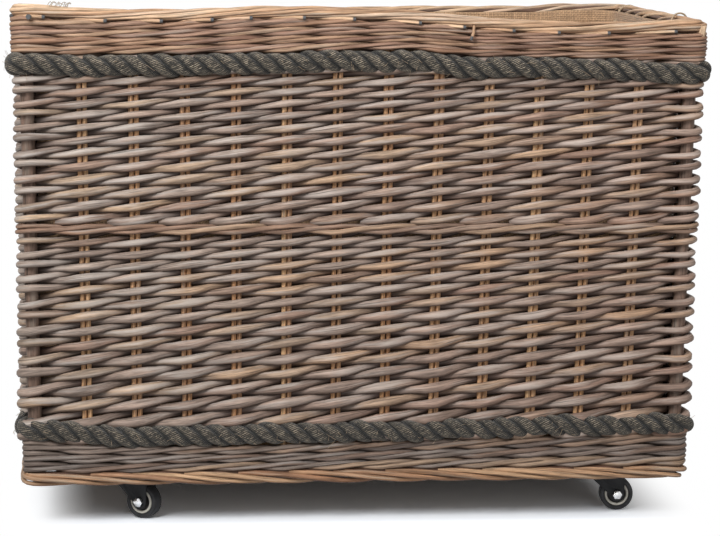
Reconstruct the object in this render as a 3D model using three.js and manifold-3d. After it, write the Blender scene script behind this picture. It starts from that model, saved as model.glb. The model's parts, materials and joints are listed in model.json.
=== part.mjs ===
// A woven willow log cart: a rectangular basket that leans out a little towards its rim,
// two rope bands, a cloth lining and four swivel castors under a board.
// Millimetres, +Z up, the long front wall faces -Y, the origin is on the floor under the middle.

import * as THREE from 'three';
import { ParametricGeometry } from 'three/addons/geometries/ParametricGeometry.js';
import { mergeVertices } from 'three/addons/utils/BufferGeometryUtils.js';
import Module from 'manifold-3d';

const wasm = await Module();
wasm.setup();

// Basket, measured over its two wales
const topLength = 800;
const topDepth = 450;
const bottomLength = 783;
const bottomDepth = 433;

// Bands of the wall, from the foot up
const bottomBorderHeight = 14;
const bottomWaleHeight = 36;
const ropeHeight = 25;
const lowerWeaveHeight = 210;
const midWaleHeight = 15;
const upperWeaveHeight = 165;
const topWaleHeight = 38;
const topBorderHeight = 14;

// Distances from the line that the stakes stand on: positive is outwards
const waleReach = 13.4;
const weaveHollow = 5;
const ropeReach = 19;
const topBorderReach = 11;
const bottomBorderReach = 12.4;
const innerFace = 10.5;
const bottomBorderLedge = 16.5;

// Rows of rods
const waleRow = 9.5;
const rowGroove = 1.6;

// Weave: rods pass in front of the stakes at every other level, and thin from butt to tip
const lowerWeaveRods = { levels: 30, butt: 9.6, tip: 6.2, fill: 1.16 };
const upperWeaveRods = { levels: 27, butt: 8, tip: 6.2, fill: 1.14 };
const rodPress = 0.72;
const weaveEdgeRoom = 2;
const stakeCover = 0.6;

// Stakes, corner posts and what stands between them
const stakeDiameter = 6;
const stakePairSpacing = 6.3;
const stakeSpacing = 58;
const firstStakeFromCorner = 80;
const stakeRailHeight = 4;
const stakeRailLift = 1;
const postDiameter = 18;
const innerCornerRadius = 30;
const clearance = 0.3;

// Lining, base board and battens
const liningThickness = 2;
const liningTopBelowBorder = 6;
const liningClearance = 0.5;
const boardThickness = 12;
const battenThickness = 10;
const battenWidth = 60;
const battenEndRoom = 1;

// Castors
const castorHeight = 54;
const castorFromLeftEnd = 129;
const castorFromRightEnd = 93;
const castorFromFront = 74;
const wheelDiameter = 40;
const wheelWidth = 17;
const tyreThickness = 5.5;
const tyreShoulder = 2.5;
const rimThickness = 2.4;
const hubDiameter = 16;
const webThickness = 6;
const trail = 18;
const wheelSideRoom = 1;
const plateSize = 42;
const plateThickness = 2;
const screwHoleDiameter = 4.5;
const screwHoleSpacing = 32;
const raceDiameter = 30;
const raceHeight = 3.6;
const raceLip = 1;
const kingpinDiameter = 7.4;
const kingpinHeadDiameter = 13;
const kingpinHeadHeight = 3;
const forkThickness = 2;
const forkEndRadius = 9;
const forkBack = 13;
const forkShoulderBack = 11;
const forkShoulderHeight = 38;
const axleDiameter = 6;
const boltHeadFlats = 10;
const boltHeadHeight = 4;
const nutHeight = 5;

// Where each castor points at rest, in degrees anticlockwise from +X
const frontLeftHeading = -33;
const frontRightHeading = -4;
const backLeftHeading = -24;
const backRightHeading = 12;

// Facets
const cornerSteps = 4;
const stakeSides = 6;
const postSides = 12;
const wheelSides = 18;
const holeSides = 10;
const ovalSides = 8;
const arcSteps = 8;
const flatness = 0.02;

// Levels, from the floor up
const boardBottom = castorHeight + clearance + battenThickness + clearance;
const bottomBorderTop = boardBottom - clearance;
const bottomBorderBottom = bottomBorderTop - bottomBorderHeight;
const bottomWaleBottom = bottomBorderTop + clearance;
const bottomWaleTop = bottomWaleBottom + bottomWaleHeight;
const bottomRopeBottom = bottomWaleTop + clearance;
const bottomRopeTop = bottomRopeBottom + ropeHeight;
const lowerWeaveBottom = bottomRopeTop + clearance;
const lowerWeaveTop = lowerWeaveBottom + lowerWeaveHeight;
const midWaleBottom = lowerWeaveTop + clearance;
const midWaleTop = midWaleBottom + midWaleHeight;
const upperWeaveBottom = midWaleTop + clearance;
const upperWeaveTop = upperWeaveBottom + upperWeaveHeight;
const topRopeBottom = upperWeaveTop + clearance;
const topRopeTop = topRopeBottom + ropeHeight;
const topWaleBottom = topRopeTop + clearance;
const topWaleTop = topWaleBottom + topWaleHeight;
const topBorderBottom = topWaleTop + clearance;
const topBorderTop = topBorderBottom + topBorderHeight;
const boardTop = boardBottom + boardThickness;
const stakeBottom = bottomWaleBottom;
const stakeTop = topWaleTop;

// Sizes that follow from the stakes and the posts
const stakeRadius = stakeDiameter / 2;
const stakeFace = stakeRadius + clearance;
const postRadius = postDiameter / 2;
const postInset = postRadius - stakeRadius;

// Half length and half depth of the stake line at a height: the walls lean straight out
const bottomWaleMiddle = (bottomWaleBottom + bottomWaleTop) / 2;
const topWaleMiddle = (topWaleBottom + topWaleTop) / 2;

function stakeLine(height) {
  const rise = (height - bottomWaleMiddle) / (topWaleMiddle - bottomWaleMiddle);
  return {
    length: THREE.MathUtils.lerp(bottomLength, topLength, rise) / 2 - waleReach,
    depth: THREE.MathUtils.lerp(bottomDepth, topDepth, rise) / 2 - waleReach,
  };
}

// Solids and meshes

function solid(geometry) {
  const bare = geometry.clone();
  bare.deleteAttribute('normal');
  bare.deleteAttribute('uv');
  const merged = mergeVertices(bare, 1e-4);
  const mesh = new wasm.Mesh({
    numProp: 3,
    vertProperties: new Float32Array(merged.attributes.position.array),
    triVerts: new Uint32Array(merged.index.array),
  });
  return new wasm.Manifold(mesh);
}

function geometryOf(manifold) {
  const mesh = manifold.getMesh();
  const geometry = new THREE.BufferGeometry();
  geometry.setAttribute('position', new THREE.BufferAttribute(mesh.vertProperties, 3));
  geometry.setIndex(new THREE.BufferAttribute(mesh.triVerts, 1));
  geometry.computeVertexNormals();
  return geometry;
}

function moveVertices(geometry, place) {
  const position = geometry.attributes.position;
  for (let i = 0; i < position.count; i += 1) {
    const point = new THREE.Vector3().fromBufferAttribute(position, i);
    const moved = place(point);
    position.setXYZ(i, moved.x, moved.y, moved.z);
  }
  return geometry;
}

const colours = {
  weave: 0x8a7765,
  wale: 0x7d5f4b,
  border: 0xa9825c,
  stake: 0xb08a62,
  rope: 0x3b3a36,
  hessian: 0xa88c63,
  plywood: 0xc9ad82,
  steel: 0xb9bcc0,
  black: 0x17181a,
  cream: 0xd8cfb8,
};

function named(name, geometry, colour, roughness = 0.85, metalness = 0) {
  const material = new THREE.MeshStandardMaterial({ color: colours[colour], roughness, metalness });
  const mesh = new THREE.Mesh(geometry, material);
  mesh.name = name;
  return mesh;
}

// Rings that go right round the basket

function roundedOutline(halfLength, halfDepth, radius) {
  const points = [];
  for (let corner = 0; corner < 4; corner += 1) {
    const sideX = corner === 0 || corner === 3 ? 1 : -1;
    const sideY = corner < 2 ? 1 : -1;
    for (let step = 0; step <= cornerSteps; step += 1) {
      const angle = (corner + step / cornerSteps) * Math.PI / 2;
      const x = sideX * (halfLength - radius) + radius * Math.cos(angle);
      const y = sideY * (halfDepth - radius) + radius * Math.sin(angle);
      points.push(new THREE.Vector2(x, y));
    }
  }
  return points;
}

// Outside the stakes a corner goes round the post; inside it is the wider inner corner
function cornerRadius(offset) {
  return offset > 0 ? offset + postInset : innerCornerRadius;
}

// A closed skin through one loop of points at each height, and back to the first loop
function skin(loops, heights) {
  const around = loops[0].length;
  return new ParametricGeometry((u, v, target) => {
    const i = Math.round(u * around) % around;
    const j = Math.round(v * heights.length) % heights.length;
    target.set(loops[j][i].x, loops[j][i].y, heights[j]);
  }, around, heights.length);
}

// One ring whose cross-section is a closed list of points: offset from the stake line, height
function ring(section) {
  const loops = section.map((point) => {
    const line = stakeLine(point.y);
    return roundedOutline(line.length + point.x, line.depth + point.x, cornerRadius(point.x));
  });
  return skin(loops, section.map((point) => point.y));
}

// The outer edge of stacked rows, from bottom to top: each row bulges between two grooves
function rowEdge(bottom, top, reach, rowHeight) {
  const rows = Math.max(1, Math.round((top - bottom) / rowHeight));
  const pitch = (top - bottom) / rows;
  const edge = [new THREE.Vector2(reach - rowGroove, bottom)];
  for (let row = 0; row < rows; row += 1) {
    const foot = bottom + row * pitch;
    edge.push(new THREE.Vector2(reach, foot + pitch / 4));
    edge.push(new THREE.Vector2(reach, foot + pitch * 3 / 4));
    edge.push(new THREE.Vector2(reach - rowGroove, foot + pitch));
  }
  return edge;
}

function waleSection(bottom, top) {
  const edge = rowEdge(bottom, top, waleReach, waleRow);
  return [...edge, new THREE.Vector2(-innerFace, top), new THREE.Vector2(-innerFace, bottom)];
}

function ropeSection(bottom) {
  const middle = (stakeFace + ropeReach) / 2;
  const halfThickness = (ropeReach - stakeFace) / 2;
  const points = [];
  for (let step = 0; step < ovalSides; step += 1) {
    const angle = (step + 0.5) / ovalSides * Math.PI * 2;
    const spread = 1 / Math.cos(Math.PI / ovalSides);
    points.push(new THREE.Vector2(
      middle + halfThickness * spread * Math.cos(angle),
      bottom + ropeHeight / 2 * (1 + spread * Math.sin(angle)),
    ));
  }
  return points;
}

// A plaited border: flat where it meets the wall, rounded on its free side
function borderSection(inner, reach, meeting, free) {
  const shoulder = (meeting + free) / 2;
  const round = (reach + inner) / 4;
  return [
    new THREE.Vector2(-inner, meeting),
    new THREE.Vector2(reach - rowGroove, meeting),
    new THREE.Vector2(reach, shoulder),
    new THREE.Vector2(reach - round, free),
    new THREE.Vector2(round - inner, free),
    new THREE.Vector2(-inner, shoulder),
  ];
}

// The four walls: each is drawn as the front wall and turned into place

const walls = [
  { name: 'front', turn: 0, along: 'length', across: 'depth' },
  { name: 'right', turn: Math.PI / 2, along: 'depth', across: 'length' },
  { name: 'back', turn: Math.PI, along: 'length', across: 'depth' },
  { name: 'left', turn: -Math.PI / 2, along: 'depth', across: 'length' },
];

// A section of offsets and heights, drawn out along a wall to a half length at each height
function wallSolid(wall, section, halfLength) {
  const shape = new THREE.Shape(section);
  const geometry = new THREE.ExtrudeGeometry(shape, { depth: 1, bevelEnabled: false });
  moveVertices(geometry, (point) => new THREE.Vector3(
    (1 - 2 * point.z) * halfLength(point.y),
    -(stakeLine(point.y)[wall.across] + point.x),
    point.y,
  ));
  return solid(geometry.rotateZ(wall.turn));
}

function block(offsetLow, offsetHigh, bottom, top) {
  return [
    new THREE.Vector2(offsetLow, bottom),
    new THREE.Vector2(offsetHigh, bottom),
    new THREE.Vector2(offsetHigh, top),
    new THREE.Vector2(offsetLow, top),
  ];
}

// Stake pairs are spaced evenly and spread apart with the lean of the walls
function stakePlaces(wall) {
  const half = stakeLine(topWaleMiddle)[wall.along];
  const run = half + waleReach - firstStakeFromCorner;
  const spaces = Math.max(1, Math.round(run * 2 / stakeSpacing));
  const places = [];
  for (let i = 0; i <= spaces; i += 1) {
    places.push((i / spaces * 2 - 1) * run / half);
  }
  return places;
}

function stakeReach(wall, height) {
  const places = stakePlaces(wall);
  return places[places.length - 1] * stakeLine(height)[wall.along] + stakePairSpacing / 2 + stakeRadius;
}

function stakeSlot(wall, bottom, top) {
  const section = block(-stakeFace, stakeFace, bottom - clearance, top + clearance);
  return wallSolid(wall, section, (height) => stakeReach(wall, height) + clearance);
}

function stakeNode(wall) {
  const bodies = [];
  for (const place of stakePlaces(wall)) {
    for (const side of [-1, 1]) {
      const height = stakeTop - stakeBottom;
      const stake = new THREE.CylinderGeometry(stakeRadius, stakeRadius, height, stakeSides);
      stake.rotateX(Math.PI / 2);
      stake.translate(side * stakePairSpacing / 2, 0, stakeBottom + height / 2);
      moveVertices(stake, (point) => new THREE.Vector3(
        point.x + place * stakeLine(point.z)[wall.along],
        point.y - stakeLine(point.z)[wall.across],
        point.z,
      ));
      bodies.push(solid(stake.rotateZ(wall.turn)));
    }
  }
  const railBottom = stakeBottom + stakeRailLift;
  const railSection = block(-stakeRadius / 2, stakeRadius / 2, railBottom, railBottom + stakeRailHeight);
  const rail = wallSolid(wall, railSection, (height) => stakeReach(wall, height) - stakeRadius);
  return bodies.reduce((whole, body) => whole.add(body), rail);
}

function post(sideX, sideY, radius, bottom, top) {
  const geometry = new THREE.CylinderGeometry(radius, radius, top - bottom, postSides);
  geometry.rotateX(Math.PI / 2);
  geometry.translate(0, 0, (bottom + top) / 2);
  return moveVertices(geometry, (point) => new THREE.Vector3(
    point.x + sideX * (stakeLine(point.z).length - postInset),
    point.y + sideY * (stakeLine(point.z).depth - postInset),
    point.z,
  ));
}

// A woven band takes the stakes in four slots and the posts in four holes
function wovenBand(geometry, bottom, top) {
  let body = solid(geometry);
  for (const wall of walls) {
    body = body.subtract(stakeSlot(wall, bottom, top));
  }
  for (const sideX of [-1, 1]) {
    for (const sideY of [-1, 1]) {
      const hole = post(sideX, sideY, postRadius + clearance, bottom - clearance, top + clearance);
      body = body.subtract(solid(hole));
    }
  }
  return geometryOf(body.simplify(flatness));
}

function waleBand(bottom, top) {
  return wovenBand(ring(waleSection(bottom, top)), bottom, top);
}

// A loop with a point at each stake pair and midway between, raised at the pairs and the corners
function wovenLoop(height, offset, raised) {
  const line = stakeLine(height);
  const high = offset + raised;
  const radius = cornerRadius(high);
  const corners = roundedOutline(line.length + high, line.depth + high, radius);
  const points = [];
  for (let corner = 0; corner < walls.length; corner += 1) {
    const first = corner * (cornerSteps + 1);
    points.push(...corners.slice(first, first + cornerSteps + 1));
    const wall = walls[(corner + 2) % walls.length];
    const stakes = stakePlaces(wall).map((place) => place * line[wall.along]);
    const straight = line[wall.along] + high - radius - clearance;
    const lastGap = Math.min(straight, (line[wall.along] - postInset + stakes[stakes.length - 1]) / 2);
    const addPoint = (along, out) => {
      const point = new THREE.Vector2(along, -(line[wall.across] + out));
      points.push(point.rotateAround(new THREE.Vector2(), wall.turn));
    };
    addPoint(-lastGap, offset);
    stakes.forEach((along, i) => {
      addPoint(along, high);
      addPoint(i + 1 < stakes.length ? (along + stakes[i + 1]) / 2 : lastGap, offset);
    });
  }
  return points;
}

// The heights at which rods cross the stakes: a rod in front stands out, one behind lets the stakes show
function rodLevels(rods, bottom, top) {
  const pitches = [];
  for (let level = 0; level < rods.levels; level += 1) {
    pitches.push(THREE.MathUtils.lerp(rods.butt, rods.tip, level / (rods.levels - 1)));
  }
  const stretch = (top - bottom) / pitches.reduce((sum, pitch) => sum + pitch, 0);
  let foot = bottom;
  return pitches.map((pitch, level) => {
    const height = foot + pitch * stretch / 2;
    foot += pitch * stretch;
    const radius = pitch * stretch * rods.fill / 2;
    const inFront = stakeRadius + radius * (1 + rodPress);
    const behind = stakeFace + stakeCover;
    return { height, raised: (level % 2 === 0 ? inFront : behind) - weaveHollow };
  });
}

// The weave is full thickness between the ropes and only its inner half behind one
function weaveBand(rods, innerBottom, outerBottom, outerTop, innerTop) {
  const rows = [{ height: innerBottom, offset: -innerFace, raised: 0 }];
  if (innerBottom < outerBottom) {
    rows.push({ height: innerBottom, offset: -stakeFace, raised: 0 });
    rows.push({ height: outerBottom, offset: -stakeFace, raised: 0 });
  }
  rows.push({ height: outerBottom, offset: weaveHollow, raised: 0 });
  for (const level of rodLevels(rods, innerBottom, innerTop)) {
    if (level.height > outerBottom + weaveEdgeRoom && level.height < outerTop - weaveEdgeRoom) {
      rows.push({ height: level.height, offset: weaveHollow, raised: level.raised });
    }
  }
  rows.push({ height: outerTop, offset: weaveHollow, raised: 0 });
  if (outerTop < innerTop) {
    rows.push({ height: outerTop, offset: -stakeFace, raised: 0 });
    rows.push({ height: innerTop, offset: -stakeFace, raised: 0 });
  }
  rows.push({ height: innerTop, offset: -innerFace, raised: 0 });
  const loops = rows.map((row) => wovenLoop(row.height, row.offset, row.raised));
  return wovenBand(skin(loops, rows.map((row) => row.height)), innerBottom, innerTop);
}

function lowerWeave() {
  return weaveBand(lowerWeaveRods, bottomRopeBottom, lowerWeaveBottom, lowerWeaveTop, lowerWeaveTop);
}

function upperWeave() {
  return weaveBand(upperWeaveRods, upperWeaveBottom, upperWeaveBottom, upperWeaveTop, topRopeTop);
}

// Basket

const basket = new THREE.Group();

const bottomBorder = borderSection(bottomBorderLedge, bottomBorderReach, bottomBorderTop, bottomBorderBottom);
const topBorder = borderSection(innerFace, topBorderReach, topBorderBottom, topBorderTop);
basket.add(
  named('bottom_border', geometryOf(solid(ring(bottomBorder.reverse()))), 'border'),
  named('bottom_wale', waleBand(bottomWaleBottom, bottomWaleTop), 'wale'),
  named('bottom_rope', geometryOf(solid(ring(ropeSection(bottomRopeBottom)))), 'rope', 0.95),
  named('lower_weave', lowerWeave(), 'weave'),
  named('mid_wale', waleBand(midWaleBottom, midWaleTop), 'wale'),
  named('upper_weave', upperWeave(), 'weave'),
  named('top_rope', geometryOf(solid(ring(ropeSection(topRopeBottom)))), 'rope', 0.95),
  named('top_wale', waleBand(topWaleBottom, topWaleTop), 'wale'),
  named('top_border', geometryOf(solid(ring(topBorder))), 'border'),
);

for (const wall of walls) {
  basket.add(named(`stakes_${wall.name}`, geometryOf(stakeNode(wall)), 'stake'));
}

const ends = [
  { name: 'front_left', sideX: -1, sideY: -1, heading: frontLeftHeading },
  { name: 'front_right', sideX: 1, sideY: -1, heading: frontRightHeading },
  { name: 'back_left', sideX: -1, sideY: 1, heading: backLeftHeading },
  { name: 'back_right', sideX: 1, sideY: 1, heading: backRightHeading },
];

for (const end of ends) {
  const geometry = post(end.sideX, end.sideY, postRadius, stakeBottom, stakeTop);
  basket.add(named(`corner_post_${end.name}`, geometry, 'stake'));
}

// Lining: an open bag that stands on the board, close inside the walls

function leaningBlock(offset, radius, bottom, top) {
  const line = stakeLine(bottom);
  const outline = roundedOutline(line.length + offset, line.depth + offset, radius);
  const shape = new THREE.Shape(outline);
  const geometry = new THREE.ExtrudeGeometry(shape, { depth: top - bottom, bevelEnabled: false });
  return solid(moveVertices(geometry, (point) => {
    const here = stakeLine(bottom + point.z);
    return new THREE.Vector3(
      point.x + Math.sign(point.x) * (here.length - line.length),
      point.y + Math.sign(point.y) * (here.depth - line.depth),
      bottom + point.z,
    );
  }));
}

const liningOffset = -innerFace - liningClearance;
const liningBottom = boardTop + clearance;
const liningTop = topWaleTop - liningTopBelowBorder;
const liningOutside = leaningBlock(liningOffset, innerCornerRadius, liningBottom, liningTop);
const liningInside = leaningBlock(
  liningOffset - liningThickness,
  innerCornerRadius - liningThickness,
  liningBottom + liningThickness,
  liningTop + liningThickness,
);
basket.add(named('liner', geometryOf(liningOutside.subtract(liningInside)), 'hessian', 0.95));

// Base board and battens

const boardLine = stakeLine(boardBottom);
const boardShape = new THREE.Shape(roundedOutline(
  boardLine.length - innerFace - clearance,
  boardLine.depth - innerFace - clearance,
  innerCornerRadius,
));
const board = new THREE.ExtrudeGeometry(boardShape, { depth: boardThickness, bevelEnabled: false });
board.translate(0, 0, boardBottom);
basket.add(named('base_board', board, 'plywood', 0.7));

const castorX = { left: castorFromLeftEnd - bottomLength / 2, right: bottomLength / 2 - castorFromRightEnd };
const castorY = bottomDepth / 2 - castorFromFront;
const battenLength = 2 * (stakeLine(bottomBorderBottom).depth - bottomBorderLedge - battenEndRoom);
for (const side of ['left', 'right']) {
  const batten = new THREE.BoxGeometry(battenWidth, battenLength, battenThickness);
  batten.translate(castorX[side], 0, castorHeight + clearance + battenThickness / 2);
  basket.add(named(`base_batten_${side}`, batten, 'plywood', 0.7));
}

// Castor levels, from its plate down
const plateBottom = castorHeight - plateThickness;
const raceTop = plateBottom - clearance;
const raceBottom = raceTop - raceHeight;
const crownTop = raceBottom - clearance;
const crownBottom = crownTop - forkThickness;
const kingpinHeadTop = crownBottom - clearance;
const kingpinHeadBottom = kingpinHeadTop - kingpinHeadHeight;

const wheelRadius = wheelDiameter / 2;
const earInside = wheelWidth / 2 + wheelSideRoom;
const earOutside = earInside + forkThickness;
const axleHole = axleDiameter / 2 + clearance;
const kingpinHole = kingpinDiameter / 2 + clearance;

// An upright disc or pin of a castor
function upright(radius, bottom, top, sides = wheelSides, x = 0, y = 0) {
  const geometry = new THREE.CylinderGeometry(radius, radius, top - bottom, sides);
  geometry.rotateX(Math.PI / 2);
  return geometry.translate(x, y, (bottom + top) / 2);
}

// A piece on the axle line, from one side to the other; a six-sided one has a flat on top
function onAxle(radius, from, to, sides) {
  const geometry = new THREE.CylinderGeometry(radius, radius, to - from, sides);
  geometry.rotateY(Math.PI / sides);
  return geometry.translate(trail, (from + to) / 2, wheelRadius);
}

function plateGeometry() {
  const plate = new THREE.BoxGeometry(plateSize, plateSize, plateThickness);
  plate.translate(0, 0, castorHeight - plateThickness / 2);
  let body = solid(plate);
  body = body.subtract(solid(upright(kingpinHole, plateBottom - 1, castorHeight + 1, holeSides)));
  for (const sideX of [-1, 1]) {
    for (const sideY of [-1, 1]) {
      const x = sideX * screwHoleSpacing / 2;
      const y = sideY * screwHoleSpacing / 2;
      const radius = screwHoleDiameter / 2;
      const hole = upright(radius, plateBottom - 1, castorHeight + 1, holeSides, x, y);
      body = body.subtract(solid(hole));
    }
  }
  return geometryOf(body);
}

// A closed profile of radius and height, turned about Z
function turned(points, sides) {
  const geometry = new THREE.LatheGeometry([...points, points[0]], sides);
  return geometry.rotateX(Math.PI / 2);
}

function raceGeometry() {
  const outside = raceDiameter / 2;
  const geometry = turned([
    new THREE.Vector2(kingpinHole, raceBottom),
    new THREE.Vector2(outside - raceLip, raceBottom),
    new THREE.Vector2(outside, (raceBottom + raceTop) / 2),
    new THREE.Vector2(outside - raceLip, raceTop),
    new THREE.Vector2(kingpinHole, raceTop),
  ], wheelSides);
  return geometryOf(solid(geometry));
}

function kingpinGeometry() {
  const shank = solid(upright(kingpinDiameter / 2, kingpinHeadTop - 1, castorHeight, holeSides));
  const head = solid(upright(kingpinHeadDiameter / 2, kingpinHeadBottom, kingpinHeadTop, holeSides));
  return geometryOf(shank.add(head));
}

// One ear of the fork: upright at the front, slanting in from its shoulder to the round end
function earSolid(side) {
  const shape = new THREE.Shape();
  shape.moveTo(-forkBack, crownTop);
  shape.lineTo(-forkShoulderBack, forkShoulderHeight);
  for (let step = 0; step <= arcSteps; step += 1) {
    const angle = Math.PI + Math.PI * step / arcSteps;
    const x = trail + forkEndRadius * Math.cos(angle);
    shape.lineTo(x, wheelRadius + forkEndRadius * Math.sin(angle));
  }
  shape.lineTo(trail + forkEndRadius, crownTop);
  const geometry = new THREE.ExtrudeGeometry(shape, { depth: forkThickness, bevelEnabled: false });
  geometry.rotateX(Math.PI / 2);
  geometry.translate(0, side > 0 ? earOutside : -earInside, 0);
  return solid(geometry);
}

function forkGeometry() {
  const crownLength = trail + forkEndRadius;
  const bridge = new THREE.BoxGeometry(crownLength, 2 * earOutside, forkThickness);
  bridge.translate(crownLength / 2, 0, crownTop - forkThickness / 2);
  const body = solid(upright(raceDiameter / 2, crownBottom, crownTop))
    .add(solid(bridge))
    .add(earSolid(-1))
    .add(earSolid(1))
    .subtract(solid(upright(kingpinHole, crownBottom - 1, crownTop + 1, holeSides)))
    .subtract(solid(onAxle(axleHole, -earOutside - 1, earOutside + 1, holeSides)));
  return geometryOf(body);
}

function boltGeometry() {
  const headRadius = boltHeadFlats / 2 / Math.cos(Math.PI / 6);
  const headInside = -earOutside - clearance;
  const shankEnd = earOutside + clearance + nutHeight;
  const head = solid(onAxle(headRadius, headInside - boltHeadHeight, headInside, 6));
  const shank = solid(onAxle(axleDiameter / 2, headInside - 1, shankEnd, holeSides));
  return geometryOf(head.add(shank));
}

function nutGeometry() {
  const radius = boltHeadFlats / 2 / Math.cos(Math.PI / 6);
  const inside = earOutside + clearance;
  const body = solid(onAxle(radius, inside, inside + nutHeight, 6));
  return geometryOf(body.subtract(solid(onAxle(axleHole, inside - 1, inside + nutHeight + 1, holeSides))));
}

// A closed profile of radius and half width on one side, mirrored and turned about the axle;
// the wheel is measured over its flats and stands on one
function onWheel(profile) {
  const overFlats = 1 / Math.cos(Math.PI / wheelSides);
  const near = profile.map(([radius, side]) => new THREE.Vector2(radius * overFlats, -side));
  const far = [...profile].reverse().map(([radius, side]) => new THREE.Vector2(radius * overFlats, side));
  const points = [...near, ...far];
  const geometry = new THREE.LatheGeometry([...points, points[0]], wheelSides);
  geometry.rotateY(Math.PI / wheelSides);
  geometry.translate(trail, 0, wheelRadius);
  return geometryOf(solid(geometry));
}

function coreGeometry() {
  const rimOutside = wheelRadius - tyreThickness - clearance;
  const rimInside = rimOutside - rimThickness;
  const hubHalf = earInside - clearance;
  return onWheel([
    [axleHole, hubHalf],
    [hubDiameter / 2, hubHalf],
    [hubDiameter / 2, webThickness / 2],
    [rimInside, webThickness / 2],
    [rimInside, wheelWidth / 2],
    [rimOutside, wheelWidth / 2],
  ]);
}

function tyreGeometry() {
  const inside = wheelRadius - tyreThickness;
  return onWheel([
    [inside, wheelWidth / 2],
    [wheelRadius - tyreShoulder, wheelWidth / 2],
    [wheelRadius, wheelWidth / 2 - tyreShoulder],
  ]);
}

// Four castors, screwed up under the battens

for (const end of ends) {
  const castor = new THREE.Group();
  castor.position.set(end.sideX < 0 ? castorX.left : castorX.right, end.sideY * castorY, 0);
  castor.add(
    named(`castor_plate_${end.name}`, plateGeometry(), 'steel', 0.4, 0.8),
    named(`swivel_race_${end.name}`, raceGeometry(), 'steel', 0.4, 0.8),
    named(`kingpin_${end.name}`, kingpinGeometry(), 'steel', 0.4, 0.8),
  );
  const swivel = new THREE.Group();
  swivel.rotation.z = THREE.MathUtils.degToRad(end.heading);
  swivel.add(
    named(`fork_${end.name}`, forkGeometry(), 'black', 0.45),
    named(`axle_bolt_${end.name}`, boltGeometry(), 'steel', 0.3, 0.9),
    named(`axle_nut_${end.name}`, nutGeometry(), 'steel', 0.3, 0.9),
    named(`wheel_core_${end.name}`, coreGeometry(), 'cream', 0.5),
    named(`tyre_${end.name}`, tyreGeometry(), 'black', 0.8),
  );
  castor.add(swivel);
  basket.add(castor);
}

export default basket;
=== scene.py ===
import json
import math
import random

import bmesh
import bpy
from mathutils import Matrix, Vector


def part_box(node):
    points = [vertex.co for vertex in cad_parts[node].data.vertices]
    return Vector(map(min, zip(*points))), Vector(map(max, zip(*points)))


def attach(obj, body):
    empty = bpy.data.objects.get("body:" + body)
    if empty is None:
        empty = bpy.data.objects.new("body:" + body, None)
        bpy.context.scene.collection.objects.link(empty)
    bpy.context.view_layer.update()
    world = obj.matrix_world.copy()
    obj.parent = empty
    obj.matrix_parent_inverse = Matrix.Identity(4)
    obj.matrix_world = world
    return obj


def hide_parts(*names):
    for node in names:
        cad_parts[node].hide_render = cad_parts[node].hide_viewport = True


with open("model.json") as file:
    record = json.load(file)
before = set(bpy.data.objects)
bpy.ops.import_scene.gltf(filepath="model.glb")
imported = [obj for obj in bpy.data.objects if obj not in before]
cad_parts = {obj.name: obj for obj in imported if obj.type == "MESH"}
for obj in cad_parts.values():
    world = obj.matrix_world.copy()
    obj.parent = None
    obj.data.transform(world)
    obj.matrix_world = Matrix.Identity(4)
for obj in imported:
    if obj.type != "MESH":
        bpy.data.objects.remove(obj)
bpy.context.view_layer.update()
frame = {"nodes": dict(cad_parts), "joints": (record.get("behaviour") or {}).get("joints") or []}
print("frame loaded")


# Objects

def addObject(name, data):
    obj = bpy.data.objects.new(name, data)
    bpy.context.scene.collection.objects.link(obj)
    return obj


def addMesh(name, verts, faces, material=None, edges=()):
    mesh = bpy.data.meshes.new(name)
    mesh.from_pydata(verts, edges, faces)
    if material:
        mesh.materials.append(material)
    return addObject(name, mesh)


def smoothFaces(obj):
    for polygon in obj.data.polygons:
        polygon.use_smooth = True


def dress(obj, slot, body, *nodes):
    if nodes:
        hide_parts(*nodes)
    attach(obj, body)


# Nodes: a small writer for material, world and geometry trees

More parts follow.
